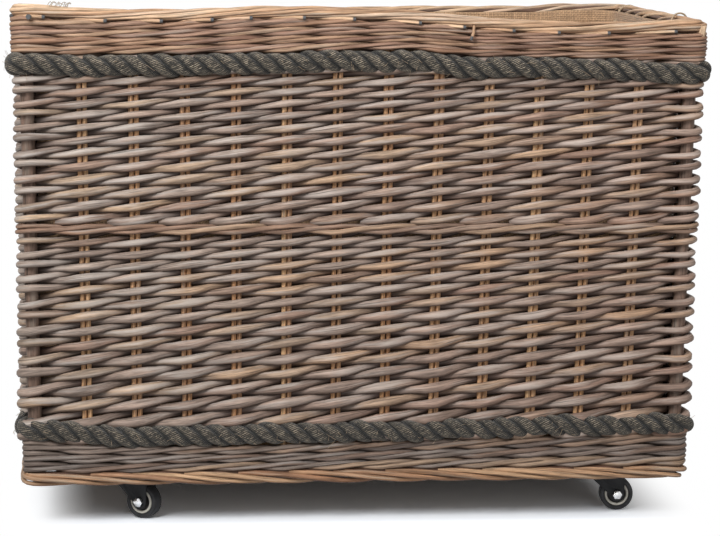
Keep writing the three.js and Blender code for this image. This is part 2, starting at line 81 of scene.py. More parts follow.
class Nodes:
    def __init__(self, tree, owner=None):
        self.tree = tree
        self.owner = owner
        tree.nodes.clear()

    def add(self, kind, inputs=None, **settings):
        node = self.tree.nodes.new(kind)
        for key, value in settings.items():
            setattr(node, key, value)
        for key, value in (inputs or {}).items():
            if isinstance(value, bpy.types.Node):
                value = value.outputs[0]
            if isinstance(value, bpy.types.NodeSocket):
                self.tree.links.new(value, node.inputs[key])
            else:
                node.inputs[key].default_value = value
        return node

    def math(self, operation, a, b=0.0, c=0.0, clamp=False):
        return self.add("ShaderNodeMath", {0: a, 1: b, 2: c}, operation=operation, use_clamp=clamp).outputs[0]

    def times(self, a, b):
        return self.math("MULTIPLY", a, b)

    def timesPlus(self, a, b, c):
        return self.math("MULTIPLY_ADD", a, b, c)

    def wave(self, turn):
        return self.math("ABSOLUTE", self.math("SINE", turn))

    def vectorMath(self, operation, a, inputs=None):
        return self.add("ShaderNodeVectorMath", {0: a, **(inputs or {})}, operation=operation)

    def parts(self, vector):
        return self.add("ShaderNodeSeparateXYZ", {0: vector}).outputs

    def joined(self, x, y, z):
        return self.add("ShaderNodeCombineXYZ", {0: x, 1: y, 2: z}).outputs[0]

    def attribute(self, name, output="Fac"):
        return self.add("ShaderNodeAttribute", attribute_name=name).outputs[output]

    def point(self):
        return self.add("ShaderNodeTexCoord").outputs["Object"]

    def stretched(self, vector, scale):
        return self.add("ShaderNodeMapping", {"Vector": vector, "Scale": scale}).outputs[0]

    def seen(self):
        rays = self.add("ShaderNodeLightPath").outputs
        either = self.math("MAXIMUM", rays["Is Camera Ray"], rays["Is Glossy Ray"])
        return self.math("MAXIMUM", either, rays["Is Transmission Ray"])

    # Stops are pairs of a position and either a grey level or a colour
    def ramp(self, fac, *stops):
        node = self.add("ShaderNodeValToRGB", {"Fac": fac})
        elements = node.color_ramp.elements
        while len(elements) < len(stops):
            elements.new(0.5)
        for element, (position, level) in zip(elements, stops):
            element.position = position
            element.color = (*level, 1) if isinstance(level, tuple) else (level, level, level, 1)
        return node.outputs["Color"]

    def mix(self, fac, a, b, blend="MIX"):
        a, b = ((*value, 1) if isinstance(value, tuple) else value for value in (a, b))
        return self.add("ShaderNodeMix", {0: fac, 6: a, 7: b}, data_type="RGBA", blend_type=blend).outputs[2]

    def shade(self, base, level, fac=1.0):
        return self.mix(fac, base, level, "MULTIPLY")

    def noise(self, vector, scale=1.0, detail=4.0, rough=0.55, distortion=0.0):
        inputs = {"Vector": vector, "Scale": scale, "Detail": detail, "Roughness": rough}
        return self.add("ShaderNodeTexNoise", {**inputs, "Distortion": distortion}).outputs["Fac"]

    def output(self, shader):
        self.add("ShaderNodeOutputMaterial", {"Surface": shader})
        return self.owner

    def surface(self, base, roughness, relief, strength, depth, more=None):
        bump = self.add("ShaderNodeBump", {"Height": relief, "Strength": strength, "Distance": depth})
        inputs = {"Base Color": base, "Roughness": roughness, "Normal": bump, **(more or {})}
        return self.output(self.add("ShaderNodeBsdfPrincipled", inputs))

    def store(self, geometry, name, value, kind="FLOAT"):
        inputs = {"Geometry": geometry, "Name": name, "Value": value}
        return self.add("GeometryNodeStoreNamedAttribute", inputs, data_type=kind, domain="POINT")

    def realized(self, geometry, material):
        real = self.add("GeometryNodeRealizeInstances", {"Geometry": geometry})
        coated = self.add("GeometryNodeSetMaterial", {"Geometry": real, "Material": material})
        self.add("NodeGroupOutput", {0: coated})
        return self.tree


def startMaterial(name):
    material = bpy.data.materials.new(name)
    material.use_nodes = True
    return Nodes(material.node_tree, material)


def startGroup(name, **sockets):
    tree = bpy.data.node_groups.new(name, "GeometryNodeTree")
    tree.is_modifier = True
    for key, kind in {"Geometry": "Geometry", **sockets}.items():
        tree.interface.new_socket(key, in_out="INPUT", socket_type="NodeSocket" + kind)
    tree.interface.new_socket("Geometry", in_out="OUTPUT", socket_type="NodeSocketGeometry")
    nodes = Nodes(tree)
    return nodes, nodes.add("NodeGroupInput").outputs


def makeReal(obj):
    depsgraph = bpy.context.evaluated_depsgraph_get()
    plain = bpy.data.meshes.new_from_object(obj.evaluated_get(depsgraph), depsgraph=depsgraph)
    obj.modifiers.clear()
    obj.data = plain


def grow(obj, group, values):
    modifier = obj.modifiers.new("grown", "NODES")
    modifier.node_group = group
    for item in group.interface.items_tree:
        if item.item_type == "SOCKET" and item.in_out == "INPUT" and item.name in values:
            modifier[item.identifier] = values[item.name]
    makeReal(obj)
    print(obj.name, len(obj.data.polygons), "faces")
    return obj


# Camera and light

camera = {
    "place": (-0.3108, -3.0028, 0.6303),
    "yaw": 0.1101,
    "pitch": 0.1170,
    "roll": 0.0094,
    "focalPixels": 2468.0,
    "imageWidth": 720,
    "sensorWidth": 36.0,
}


def addCamera():
    data = bpy.data.cameras.new("photoCamera")
    data.sensor_width = camera["sensorWidth"]
    data.lens = camera["focalPixels"] / camera["imageWidth"] * camera["sensorWidth"]
    obj = addObject("photoCamera", data)
    yaw, pitch, roll = camera["yaw"], camera["pitch"], camera["roll"]
    ahead = Vector((math.sin(yaw) * math.cos(pitch), math.cos(yaw) * math.cos(pitch), -math.sin(pitch)))
    right = ahead.cross(Vector((0, 0, 1))).normalized()
    up = right.cross(ahead)
    rightRolled = right * math.cos(roll) + up * math.sin(roll)
    upRolled = up * math.cos(roll) - right * math.sin(roll)
    turn = Matrix((rightRolled, upRolled, -ahead)).transposed().to_4x4()
    obj.matrix_world = Matrix.Translation(camera["place"]) @ turn
    bpy.context.scene.camera = obj


studio = {
    "lamps": {                 # place, size and power
        "keyLamp": ((-1.7, -2.9, 2.3), 1.2, 93),
        "fillLamp": ((0.9, -3.6, 0.75), 2.4, 22),
        "topLamp": ((-0.6, -1.5, 3.0), 3.0, 48),
    },
    "lampTarget": (0, 0, 0.3),
    "ambient": 0.12,
    "floorSize": 14.0,
    "floorWhiteFrom": 0.57,    # where the floor starts to turn white, measured after the stretch
    "floorWhiteAt": 0.80,
    "floorStretch": (1.9, 0.9, 1.0),
    "floorDark": 0.5,
    "floorPale": 0.56,
    "floorToCamera": (1.62, 1.68, 1.76),
    "white": {"Color": (1, 1, 1, 1), "Strength": 1.0},
}


def addLamps():
    for name, (place, size, power) in studio["lamps"].items():
        data = bpy.data.lights.new(name, "AREA")
        data.size = size
        data.energy = power
        lamp = addObject(name, data)
        lamp.location = place
        towards = Vector(studio["lampTarget"]) - Vector(place)
        lamp.rotation_euler = towards.to_track_quat("-Z", "Y").to_euler()


def addWorld():
    world = bpy.data.worlds.new("studioWorld")
    bpy.context.scene.world = world
    world.use_nodes = True
    n = Nodes(world.node_tree)
    ambient = n.add("ShaderNodeBackground", {**studio["white"], "Strength": studio["ambient"]})
    white = n.add("ShaderNodeBackground", studio["white"])
    both = n.add("ShaderNodeMixShader", {0: n.seen(), 1: ambient, 2: white})
    n.add("ShaderNodeOutputWorld", {"Surface": both})


def addFloor():
    n = startMaterial("paleFloor")
    point, seen = n.point(), n.seen()
    colour = n.ramp(n.noise(point, 3.0), (0.3, studio["floorDark"]), (0.7, studio["floorPale"]))
    diffuse = n.add("ShaderNodeBsdfDiffuse", {"Color": n.mix(seen, colour, studio["floorToCamera"])})
    spread = n.vectorMath("MULTIPLY", point, {1: studio["floorStretch"]})
    away = n.vectorMath("LENGTH", spread).outputs["Value"]
    fade = n.add("ShaderNodeMapRange", {"Value": away, "From Min": studio["floorWhiteFrom"],
                                        "From Max": studio["floorWhiteAt"]}, interpolation_type="SMOOTHSTEP")
    white = n.add("ShaderNodeEmission", studio["white"])
    material = n.output(n.add("ShaderNodeMixShader", {0: n.times(fade, seen), 1: diffuse, 2: white}))
    size = studio["floorSize"]
    corners = [(-size, -size, 0), (size, -size, 0), (size, size, 0), (-size, size, 0)]
    addMesh("floor", corners, [(0, 1, 2, 3)], material)


bpy.context.scene.view_settings.view_transform = "Standard"
addCamera()
addLamps()
addWorld()
addFloor()
print("camera and studio ready")


# Willow: streaks, weathered patches, grain and cracks run along each rod

willow = {                     # the first four: how often along a rod, to the metre, and round it
    "streaks": (26.0, 1.6),
    "patches": (11.0, 0.6),
    "grain": (110.0, 5.0),
    "cracks": (15.0, 4.2),
    "toneSpread": 97.0,
    "knotDark": 0.45,
    "underShade": (0.36, 0.31, 0.29),
    "cutColour": (0.085, 0.085, 0.088),
    "sunkShade": (0.26, 0.22, 0.22),
    "warmShade": (1.06, 0.93, 0.87),
    "roughness": (0.5, 0.78),
    "grainDepth": 0.0005,
}

# For each: tones, weathered colour, weathered share, and warmth towards the right
willowTones = {
    "weatheredWeave": ([(0.21, 0.15, 0.118), (0.33, 0.255, 0.21), (0.41, 0.325, 0.268), (0.29, 0.193, 0.145),
                        (0.36, 0.27, 0.20), (0.50, 0.345, 0.222)], (0.54, 0.485, 0.44), 0.5, 0.75),
    # the lower wall: the weathered weave's tones and weathered colour painted about an eighth darker
    "greyWeave": ([(0.183, 0.129, 0.101), (0.287, 0.219, 0.179), (0.355, 0.278, 0.228), (0.251, 0.164, 0.124),
                   (0.313, 0.233, 0.172), (0.425, 0.290, 0.190)], (0.47, 0.42, 0.378), 0.5, 0.7),
    "brownWale": ([(0.205, 0.107, 0.070), (0.295, 0.172, 0.117), (0.365, 0.228, 0.160), (0.25, 0.13, 0.078),
                   (0.43, 0.275, 0.175)], (0.42, 0.33, 0.27), 0.25),
    "greyWale": ([(0.10, 0.071, 0.057), (0.17, 0.128, 0.106), (0.21, 0.162, 0.133), (0.16, 0.103, 0.075),
                  (0.31, 0.212, 0.14)], (0.29, 0.255, 0.232), 0.35),
    "tanWale": ([(0.22, 0.138, 0.096), (0.295, 0.195, 0.144), (0.35, 0.245, 0.18), (0.258, 0.151, 0.101),
                 (0.40, 0.27, 0.176)], (0.36, 0.307, 0.265), 0.25),
    "tanBorder": ([(0.44, 0.25, 0.145), (0.62, 0.405, 0.25), (0.74, 0.52, 0.34), (0.50, 0.30, 0.175),
                   (0.66, 0.485, 0.35)], (0.68, 0.575, 0.46), 0.2),
    "brownBorder": ([(0.28, 0.142, 0.077), (0.395, 0.23, 0.13), (0.485, 0.303, 0.175), (0.32, 0.17, 0.09),
                     (0.44, 0.293, 0.185)], (0.41, 0.325, 0.24), 0.25),
    "tanStake": ([(0.42, 0.21, 0.10), (0.56, 0.325, 0.165), (0.38, 0.21, 0.115), (0.62, 0.38, 0.20)],
                 (0.44, 0.34, 0.26), 0.2),
    "darkPost": ([(0.15, 0.09, 0.065), (0.21, 0.14, 0.105)], (0.26, 0.21, 0.17), 0.25),
}


def rodVector(n, lengthScale, ringScale):
    ring = n.parts(n.attribute("ring", "Vector"))
    tone = n.times(n.attribute("tone"), willow["toneSpread"])
    along = n.times(n.attribute("along"), lengthScale)
    return n.joined(along, n.times(ring[0], ringScale), n.timesPlus(ring[1], ringScale, tone))


def ringAngle(n):
    ring = n.parts(n.attribute("ring", "Vector"))
    return n.math("ARCTAN2", ring[1], ring[0])


def willowMaterial(name, tones, weathered, weatheredShare, warmth=0.0):
    n = startMaterial(name)
    base = n.ramp(n.attribute("tone"), *((i / (len(tones) - 1), tone) for i, tone in enumerate(tones)))
    streaks = n.noise(rodVector(n, *willow["streaks"]), 1.0, 5.0, 0.65)
    base = n.shade(base, n.ramp(streaks, (0.33, 0.48), (0.5, 1.0), (0.66, 1.5)))
    patches = n.noise(rodVector(n, *willow["patches"]), 1.0, 4.0, 0.6)
    start = 0.62 - weatheredShare * 0.3
    base = n.mix(n.ramp(patches, (start, 0.0), (start + 0.16, 0.75)), base, weathered)
    grain = n.noise(rodVector(n, *willow["grain"]), 1.0, 3.0, 0.6)
    base = n.shade(base, n.ramp(grain, (0.3, 0.7), (0.42, 1.0)), willow["knotDark"])
    # painted shade: rods that lie behind the stakes and in other recesses are darkened
    base = n.shade(base, n.ramp(n.attribute("sunk"), (0.0, 1.0), (1.0, willow["sunkShade"])))
    # painted shade on the undersides of rods
    base = n.shade(base, n.ramp(n.attribute("under"), (0.2, 1.0), (0.9, willow["underShade"])))
    cracks = n.noise(rodVector(n, *willow["cracks"]), 1.0, 2.0, 0.5)
    base = n.shade(base, n.ramp(cracks, (0.33, 0.45), (0.41, 1.0)))
    base = n.mix(n.ramp(n.attribute("cut"), (0.45, 0.0), (0.62, 1.0)), base, willow["cutColour"])
    if warmth:
        share = n.math("MULTIPLY_ADD", n.parts(n.point())[0], 1.25, 0.5, clamp=True)
        base = n.mix(n.times(share, warmth), base, n.shade(base, willow["warmShade"]))
    smooth, rough = willow["roughness"]
    roughness = n.ramp(streaks, (0.3, rough), (0.7, smooth))
    return n.surface(base, roughness, n.timesPlus(grain, 0.5, streaks), 0.6, willow["grainDepth"],
                     {"Specular IOR Level": 0.4})


looks = {name: willowMaterial(name, *row) for name, row in willowTones.items()}

ropeLook = {
    "yarns": 34.0,
    "yarnTurn": -1150.0,       # radians to the metre: yarns rise a little along the rope
    "yarnDepth": 0.0012,
    "fleckLength": 150.0,
    "fleckWidth": 0.45,
    "fuzzScale": 240.0,
    "speckScale": 520.0,
    "dark": (0.017, 0.016, 0.013),
    "olive": (0.094, 0.078, 0.057),
    "fibre": (0.54, 0.45, 0.33),
    "footShade": 0.76,         # the lower rope is painted darker
}


def ropeMaterial():
    n = startMaterial("darkRope")
    along = n.attribute("along")
    tone = n.times(n.attribute("tone"), willow["toneSpread"])
    turn = n.timesPlus(along, ropeLook["yarnTurn"], n.timesPlus(ringAngle(n), ropeLook["yarns"], tone))
    yarn = n.math("POWER", n.wave(n.times(turn, 0.5)), 0.8)
    spot = n.joined(n.times(along, ropeLook["fleckLength"]), n.times(turn, ropeLook["fleckWidth"]), tone)
    flecks = n.noise(spot, 1.0, 3.0, 0.6)
    fuzz = n.noise(n.point(), ropeLook["fuzzScale"], 5.0, 0.7)
    base = n.mix(n.ramp(fuzz, (0.35, 0.0), (0.65, 1.0)), ropeLook["dark"], ropeLook["olive"])
    base = n.mix(n.ramp(n.times(yarn, flecks), (0.43, 0.0), (0.56, 0.9)), base, ropeLook["fibre"])
    specks = n.noise(n.point(), ropeLook["speckScale"], 3.0, 0.65)
    base = n.shade(base, n.ramp(specks, (0.36, 0.22), (0.50, 1.1)))
    # painted shade: darker between the yarns, and near black deep in the grooves between the strands
    base = n.shade(base, n.ramp(yarn, (0.0, 0.25), (0.6, 1.0)))
    base = n.shade(base, n.ramp(n.attribute("lay"), (0.42, 1.0), (0.86, 0.07)))
    base = n.shade(base, n.ramp(n.parts(n.point())[2], (0.2, ropeLook["footShade"]), (0.4, 1.0)))
    relief = n.timesPlus(flecks, 0.6, n.timesPlus(specks, 0.8, yarn))
    return n.surface(base, 0.92, relief, 1.0, ropeLook["yarnDepth"], {"Sheen Weight": 0.15})


def cordMaterial():
    n = startMaterial("paleCord")
    lay = n.wave(n.timesPlus(n.attribute("along"), 900.0, n.times(ringAngle(n), 2.0)))
    fuzz = n.noise(rodVector(n, 300.0, 3.0), 1.0, 5.0, 0.7)
    base = n.ramp(fuzz, (0.3, (0.44, 0.31, 0.19)), (0.7, (0.72, 0.55, 0.38)))
    # painted shade in the grooves between the cord's plies
    base = n.shade(base, n.ramp(lay, (0.0, 0.5), (0.5, 1.0)))
    return n.surface(base, 0.9, lay, 0.8, 0.0006)


hessian = {
    "threadPitch": 0.0024,
    "light": (0.60, 0.385, 0.225),
    "dark": (0.27, 0.155, 0.085),
    "depth": 0.0007,
    "slubScales": ((30, 420, 1), (420, 30, 1)),
}


def hessianMaterial():
    n = startMaterial("juteHessian")
    uv = n.add("ShaderNodeUVMap", uv_map="cloth").outputs[0]
    wobble = n.times(n.noise(uv, 60.0, 2.0), 1.5)
    threads = math.pi / hessian["threadPitch"]
    weft, warp = (n.math("SINE", n.timesPlus(n.parts(uv)[i], threads, wobble)) for i in (0, 1))
    over = n.math("GREATER_THAN", n.times(weft, warp), 0.0)
    across, upward = (n.math("ABSOLUTE", thread) for thread in (weft, warp))
    height = n.add("ShaderNodeMix", {0: over, 2: across, 3: upward}, data_type="FLOAT")
    thick = n.math("ADD", *(n.noise(n.stretched(uv, scale), 1.0, 3.0) for scale in hessian["slubScales"]))
    base = n.mix(n.ramp(height, (0.05, 0.0), (0.55, 1.0)), hessian["dark"], hessian["light"])
    base = n.shade(base, n.ramp(n.times(thick, 0.5), (0.38, 0.72), (0.62, 1.2)))
    relief = n.timesPlus(thick, 0.5, height)
    return n.surface(base, 0.95, relief, 0.8, hessian["depth"], {"Sheen Weight": 0.2})


def plywoodMaterial():
    n = startMaterial("rawPlywood")
    grain = n.noise(n.stretched(n.point(), (6, 90, 200)), 1.0, 6.0, 0.6, 0.6)
    base = n.ramp(grain, (0.3, (0.15, 0.11, 0.08)), (0.5, (0.21, 0.165, 0.125)), (0.7, (0.27, 0.22, 0.17)))
    return n.surface(base, 0.75, grain, 0.4, 0.0006)


# For each: colour, metallic, lowest and highest roughness, cloud scale, relief, and specular level
plainLooks = {
    "zincPlate": ((0.62, 0.63, 0.65), 1.0, 0.25, 0.42, 90.0, 0.00005, 0.5),
    "blackPaint": ((0.009, 0.009, 0.010), 0.0, 0.42, 0.62, 60.0, 0.0001, 0.25),
    "creamPlastic": ((0.78, 0.75, 0.66), 0.0, 0.38, 0.55, 70.0, 0.00008, 0.5),
    "zincBright": ((0.80, 0.80, 0.80), 1.0, 0.18, 0.34, 120.0, 0.00004, 0.5),
    "hubPlastic": ((0.03, 0.028, 0.027), 0.0, 0.45, 0.6, 70.0, 0.00008, 0.5),
    "tyreRubber": ((0.020, 0.020, 0.022), 0.0, 0.6, 0.85, 80.0, 0.0002, 0.5),
}


def plainMaterial(name, colour, metallic, roughLow, roughHigh, scale, depth, specular):
    n = startMaterial(name)
    cloud = n.noise(n.point(), scale, 5.0, 0.6)
    base = n.ramp(cloud, (0.35, tuple(part * 0.72 for part in colour)), (0.62, colour))
    roughness = n.ramp(cloud, (0.35, roughHigh), (0.65, roughLow))
    return n.surface(base, roughness, n.noise(n.point(), scale * 9, 3.0), 0.3, depth,
                     {"Metallic": metallic, "Specular IOR Level": specular})


looks.update((name, plainMaterial(name, *row)) for name, row in plainLooks.items())
looks.update(rope=ropeMaterial(), cord=cordMaterial(), cloth=hessianMaterial(), plywood=plywoodMaterial())
print("materials ready")


# The basket's plan: stations are the stake pairs and the corner posts, met going counter-clockwise

plan = {
    "stakeRadius": 0.003,
    "pairGap": 0.0063,
    "postRadius": 0.009,
    "postInset": 0.006,        # a post's radius less a stake's
    "postDrawn": 0.0078,       # posts dry a little thinner than the holes they stand in
    "stakeSpacing": 0.058,
    "uprightSteps": 14,
}

postLow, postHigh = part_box("corner_post_back_right")
footHalf = [postLow[i] + plan["postInset"] + plan["postRadius"] for i in (0, 1)]
headHalf = [postHigh[i] - plan["stakeRadius"] for i in (0, 1)]


def stakeLine(z):
    rise = (z - postLow[2]) / (postHigh[2] - postLow[2])
    return [footHalf[i] + (headHalf[i] - footHalf[i]) * rise for i in (0, 1)]


wallNames = ["front", "right", "back", "left"]
wallPlaces = []
for wallIndex, wallName in enumerate(wallNames):
    axis = wallIndex % 2
    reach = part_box("stakes_" + wallName)[1][axis] - plan["pairGap"] / 2 - plan["stakeRadius"]
    spaces = round(2 * reach / plan["stakeSpacing"])
    share = reach / headHalf[axis]
    wallPlaces.append([(2 * i / spaces - 1) * share for i in range(spaces + 1)])
wallStarts = [sum(len(places) + 1 for places in wallPlaces[:i]) for i in range(4)]
stationCount = sum(len(places) + 1 for places in wallPlaces)


def wallPoint(wall, along, z, depth):
    half = stakeLine(z)
    point = Vector((along, -(half[1 - wall % 2] + depth), z))
    return Matrix.Rotation(wall * math.pi / 2, 3, "Z") @ point


def alongAt(wall, local, z):
    half = stakeLine(z)[wall % 2]
    places = wallPlaces[wall]
    if local <= 0:
        return -(half - plan["postInset"])
    if local > len(places):
        return half - plan["postInset"]
    return places[local - 1] * half


def stationOf(index):
    index %= stationCount
    wall = max(i for i in range(4) if wallStarts[i] <= index)
    return wall, index - wallStarts[wall]


def between(t, z, depth):
    whole = math.floor(t)
    wall, local = stationOf(whole)
    start = alongAt(wall, local, z)
    end = alongAt(wall, local + 1, z)
    return wallPoint(wall, start + (end - start) * (t - whole), z, depth)


def postPoint(wall, turn, z, distance):
    centre = wallPoint(wall, alongAt(wall, 0, z), z, -plan["postInset"])
    angle = -math.pi + wall * math.pi / 2 + turn * math.pi / 2
    return centre + Vector((math.cos(angle), math.sin(angle), 0)) * distance


def stepsBetween(low, high, count):
    return [low + (high - low) * i / count for i in range(count + 1)]


# The rim is out of level: it dips towards the front right corner and lifts at the back right one

rim = {
    "front": [(-0.395, 0.0038), (-0.37, 0.0034), (-0.34, 0.0012), (-0.30, -0.0010), (-0.21, -0.0008),
              (-0.12, 0.0034), (-0.06, 0.0042), (0.0, 0.0024), (0.05, 0.0004), (0.11, -0.0052),
              (0.18, -0.0096), (0.25, -0.0116), (0.30, -0.0108), (0.36, -0.0086)],
    "back": [(-0.20, -0.0085), (-0.12, -0.0060), (-0.04, -0.0026), (0.09, -0.0006), (0.13, 0.0008),
             (0.20, 0.0012), (0.27, 0.0018), (0.31, 0.0052)],
    "frontToBack": 0.42,
}

# The ropes do not lie level on the front: height shifts along it, fading out over the ends

ropeSway = {
    "top": [(-0.39, 0.0012), (-0.365, 0.0), (-0.305, 0.0005), (-0.245, 0.0020), (-0.186, 0.0028),
            (-0.126, 0.0030), (-0.066, 0.0050), (-0.028, 0.0068), (0.033, 0.0085), (0.072, 0.0070),
            (0.123, 0.0008), (0.242, 0.0), (0.302, -0.0018), (0.36, -0.0034)],
    "bottom": [(-0.40, 0.0034), (-0.37, 0.0026), (-0.35, 0.0), (-0.31, -0.0034), (-0.25, -0.0060),
               (-0.19, -0.0048), (-0.13, -0.0060), (-0.067, -0.0048), (0.034, -0.0026), (0.095, -0.0014),
               (0.214, 0.0002), (0.274, 0.0008), (0.334, 0.0026)],
    "fade": (-0.17, 0.0),
}


def clamped(value):
    return min(1.0, max(0.0, value))


def eased(value, start, end):
    share = clamped((value - start) / (end - start))
    return share * share * (3 - 2 * share)


def alongCurve(points, x):
    if x <= points[0][0]:
        return points[0][1]
    for (startX, start), (endX, end) in zip(points, points[1:]):
        if x <= endX:
            return start + (end - start) * (x - startX) / (endX - startX)
    return points[-1][1]


def rimShift(x, y):
    front = alongCurve(rim["front"], x)
    return front + (alongCurve(rim["back"], x) - front) * clamped(0.5 + y / rim["frontToBack"])


def ropeShift(end, x, y):
    return alongCurve(ropeSway[end], x) * (1 - eased(y, *ropeSway["fade"]))


def settle(obj, node, shift):
    foot, head = (corner[2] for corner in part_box(node))
    for vertex in obj.data.vertices:
        place = vertex.co
        place.z += shift(clamped((place.z - foot) / (head - foot)), place.x, place.y)


def settleRim(obj):
    settle(obj, "top_wale", lambda share, x, y: share * rimShift(x, y))


# Rods: guide lines become round rods in one Geometry Nodes tree

class Guides:
    def __init__(self):
        self.points = []
        self.edges = []
        self.values = {"thickness": [], "tone": [], "cut": [], "sunk": []}

    def line(self, points, radii, tone, closed=False, cutStart=False, cutEnd=False, sunk=0.0):
        points = [Vector(point) for point in points]
        radii, sunk = (list(value) if isinstance(value, list) else [value] * len(points)
                       for value in (radii, sunk))
        ends = [0.0] * len(points)
        for wanted, end, at in ((cutStart, 0, 1), (cutEnd, -1, len(points) - 1)):
            if not wanted:
                continue
            face = points[end]
            inner = points[1] if end == 0 else points[-2]
            points.insert(at, face + (inner - face).normalized() * 0.0025)
            radii.insert(at, radii[end])
            sunk.insert(at, sunk[end])
            ends.insert(at, 0.0)
            ends[end] = 1.0
        first = len(self.points)
        last = first + len(points) - 1
        self.points.extend(tuple(point) for point in points)
        for key, values in zip(self.values, (radii, [tone] * len(points), ends, sunk)):
            self.values[key].extend(values)
        self.edges.extend((i, i + 1) for i in range(first, last))
        if closed:
            self.edges.append((last, first))


# One rod's way along the stations, with its radius and how deep in shade it lies
class Track:
    def __init__(self):
        self.points = []
        self.radii = []
        self.sunk = []

    def add(self, point, radius, sunk):
        self.points.append(point)
        self.radii.append(radius)
        self.sunk.append(sunk)

    def passStation(self, index, z, side, radius, slope, flat, pressed):
        wall, local = stationOf(index)
        sunk = 0.0 if side > 0 else 1.0
        if local == 0:
            stand = max(pressed, rods["cornerStand"]) if side > 0 else pressed
            distance = plan["postRadius"] + radius * stand
            for turn in (0.0, 0.5, 1.0) if side > 0 else (0.5,):
                rise = slope * distance * math.pi / 2 * (turn - 0.5)
                point = postPoint(wall, turn, z + rise, distance * side)
                self.add(point, radius * rods["cornerSqueeze"], sunk)
            return
        along = alongAt(wall, local, z)
        for shift in (-flat, flat):
            depth = side * (plan["stakeRadius"] + radius * pressed)
            self.add(wallPoint(wall, along + shift, z + slope * shift, depth), radius, sunk)


rods = {
    "cornerSqueeze": 0.92,     # rods are drawn tight round a corner post
    "cornerStand": 0.88,       # share of its radius by which a rod stands off the post outside
    "driftScale": 32.0,
    "lumpScale": 75.0,
}


def buildRodTree():
    n, given = startGroup("rodsFromGuides", Sides="Int", Step="Float", Wobble="Float", Swelling="Float",
                          Material="Material")
    curve = n.add("GeometryNodeMeshToCurve", {"Mesh": given["Geometry"]})
    smooth = n.add("GeometryNodeCurveSplineType", {"Curve": curve}, spline_type="CATMULL_ROM")
    even = n.add("GeometryNodeResampleCurve", {"Curve": smooth, "Length": given["Step"]}, mode="LENGTH")
    place = n.add("GeometryNodeInputPosition")
    drift, lumps = (n.add("ShaderNodeTexNoise", {"Vector": place, "Scale": rods[key], "Detail": 1.0}).outputs
                    for key in ("driftScale", "lumpScale"))
    centred = n.vectorMath("SUBTRACT", drift["Color"], {1: (0.5, 0.5, 0.5)})
    offset = n.vectorMath("SCALE", centred, {"Scale": given["Wobble"]})
    moved = n.add("GeometryNodeSetPosition", {"Geometry": even, "Offset": offset})
    thickness = n.add("GeometryNodeInputNamedAttribute", {"Name": "thickness"}, data_type="FLOAT")
    swell = n.timesPlus(n.math("SUBTRACT", lumps["Fac"], 0.5), given["Swelling"], 1.0)
    radius = n.times(swell, thickness.outputs["Attribute"])
    measured = n.store(moved, "along", n.add("GeometryNodeSplineParameter").outputs["Length"])
    circle = n.add("GeometryNodeCurvePrimitiveCircle", {"Resolution": given["Sides"], "Radius": 1.0})
    ringed = n.store(circle, "ring", n.add("GeometryNodeInputPosition"), "FLOAT_VECTOR")
    tube = n.add("GeometryNodeCurveToMesh",
                 {"Curve": measured, "Profile Curve": ringed, "Scale": radius, "Fill Caps": True})
    # how far each point faces down, for painted shade on the rods' undersides
    under = n.math("MULTIPLY", n.parts(n.add("GeometryNodeInputNormal"))[2], -1.0, clamp=True)
    noted = n.store(tube, "under", under)
    return n.realized(n.add("GeometryNodeSetShadeSmooth", {"Geometry": noted}), given["Material"])


rodTree = buildRodTree()


def makeRods(guides, name, look, sides=10, step=0.007, wobble=0.0012, swelling=0.25):
    obj = addMesh(name, guides.points, [], edges=guides.edges)
    for key, values in guides.values.items():
        obj.data.attributes.new(key, "FLOAT", "POINT").data.foreach_set("value", values)
    return grow(obj, rodTree, {"Sides": sides, "Step": step, "Wobble": wobble, "Swelling": swelling,
                               "Material": looks[look]})


# Upright stakes and corner posts

corners = ["front_left", "front_right", "back_left", "back_right"]


def makeStakes():
    guides = Guides()
    picks = random.Random(11)
    for wall, name in enumerate(wallNames):
        low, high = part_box("stakes_" + name)
        for local in range(1, len(wallPlaces[wall]) + 1):
            for side in (-1, 1):
                tone = picks.random()
                aside = side * plan["pairGap"] / 2
                points = [wallPoint(wall, alongAt(wall, local, z) + aside, z, 0.0)
                          for z in stepsBetween(low[2], high[2], plan["uprightSteps"])]
                guides.line(points, plan["stakeRadius"] * picks.uniform(0.88, 1.0), tone)
    stakes = makeRods(guides, "stakePairs", "tanStake", step=0.012, wobble=0.0008)
    settleRim(stakes)
    dress(stakes, "stake", "basket", *["stakes_" + name for name in wallNames])


def makePosts():
    guides = Guides()
    picks = random.Random(12)
    for wall in range(4):
        points = [postPoint(wall, 0.5, z, 0.0)
                  for z in stepsBetween(postLow[2], postHigh[2], plan["uprightSteps"])]
        guides.line(points, plan["postDrawn"], picks.random())
    posts = makeRods(guides, "cornerPosts", "darkPost", sides=20, step=0.012, wobble=0.001, swelling=0.1)
    settleRim(posts)
    dress(posts, "stake", "basket", *["corner_post_" + corner for corner in corners])


makeStakes()
makePosts()


# Randed walls: a rod for every station climbs one level at each station, over one and under one

weaves = {
    "lower_weave": {"name": "lowerWeaveRods", "look": "greyWeave", "levels": 30, "butt": 0.0096,
                    "tip": 0.0062, "stout": 1.33, "above": 0.0030, "seed": 21},
    "upper_weave": {"name": "upperWeaveRods", "look": "weatheredWeave", "levels": 27, "butt": 0.0080,
                    "tip": 0.0062, "stout": 1.31, "above": 0.0, "seed": 22},
}
weave = {
    "stoutness": (0.88, 1.06),
    "jitter": 0.15,
    "pairing": 0.26,           # front rods lie two and two at the corner posts, by this share of a level
    "flat": 0.0085,
    "pressed": 0.56,
    "midway": 0.76,
    "tips": ((-0.6, 0.7, -0.006), (-0.3, 1.4, -0.008)),    # stations on, rod thicknesses up, and depth
    "tipThinning": 0.8,
}


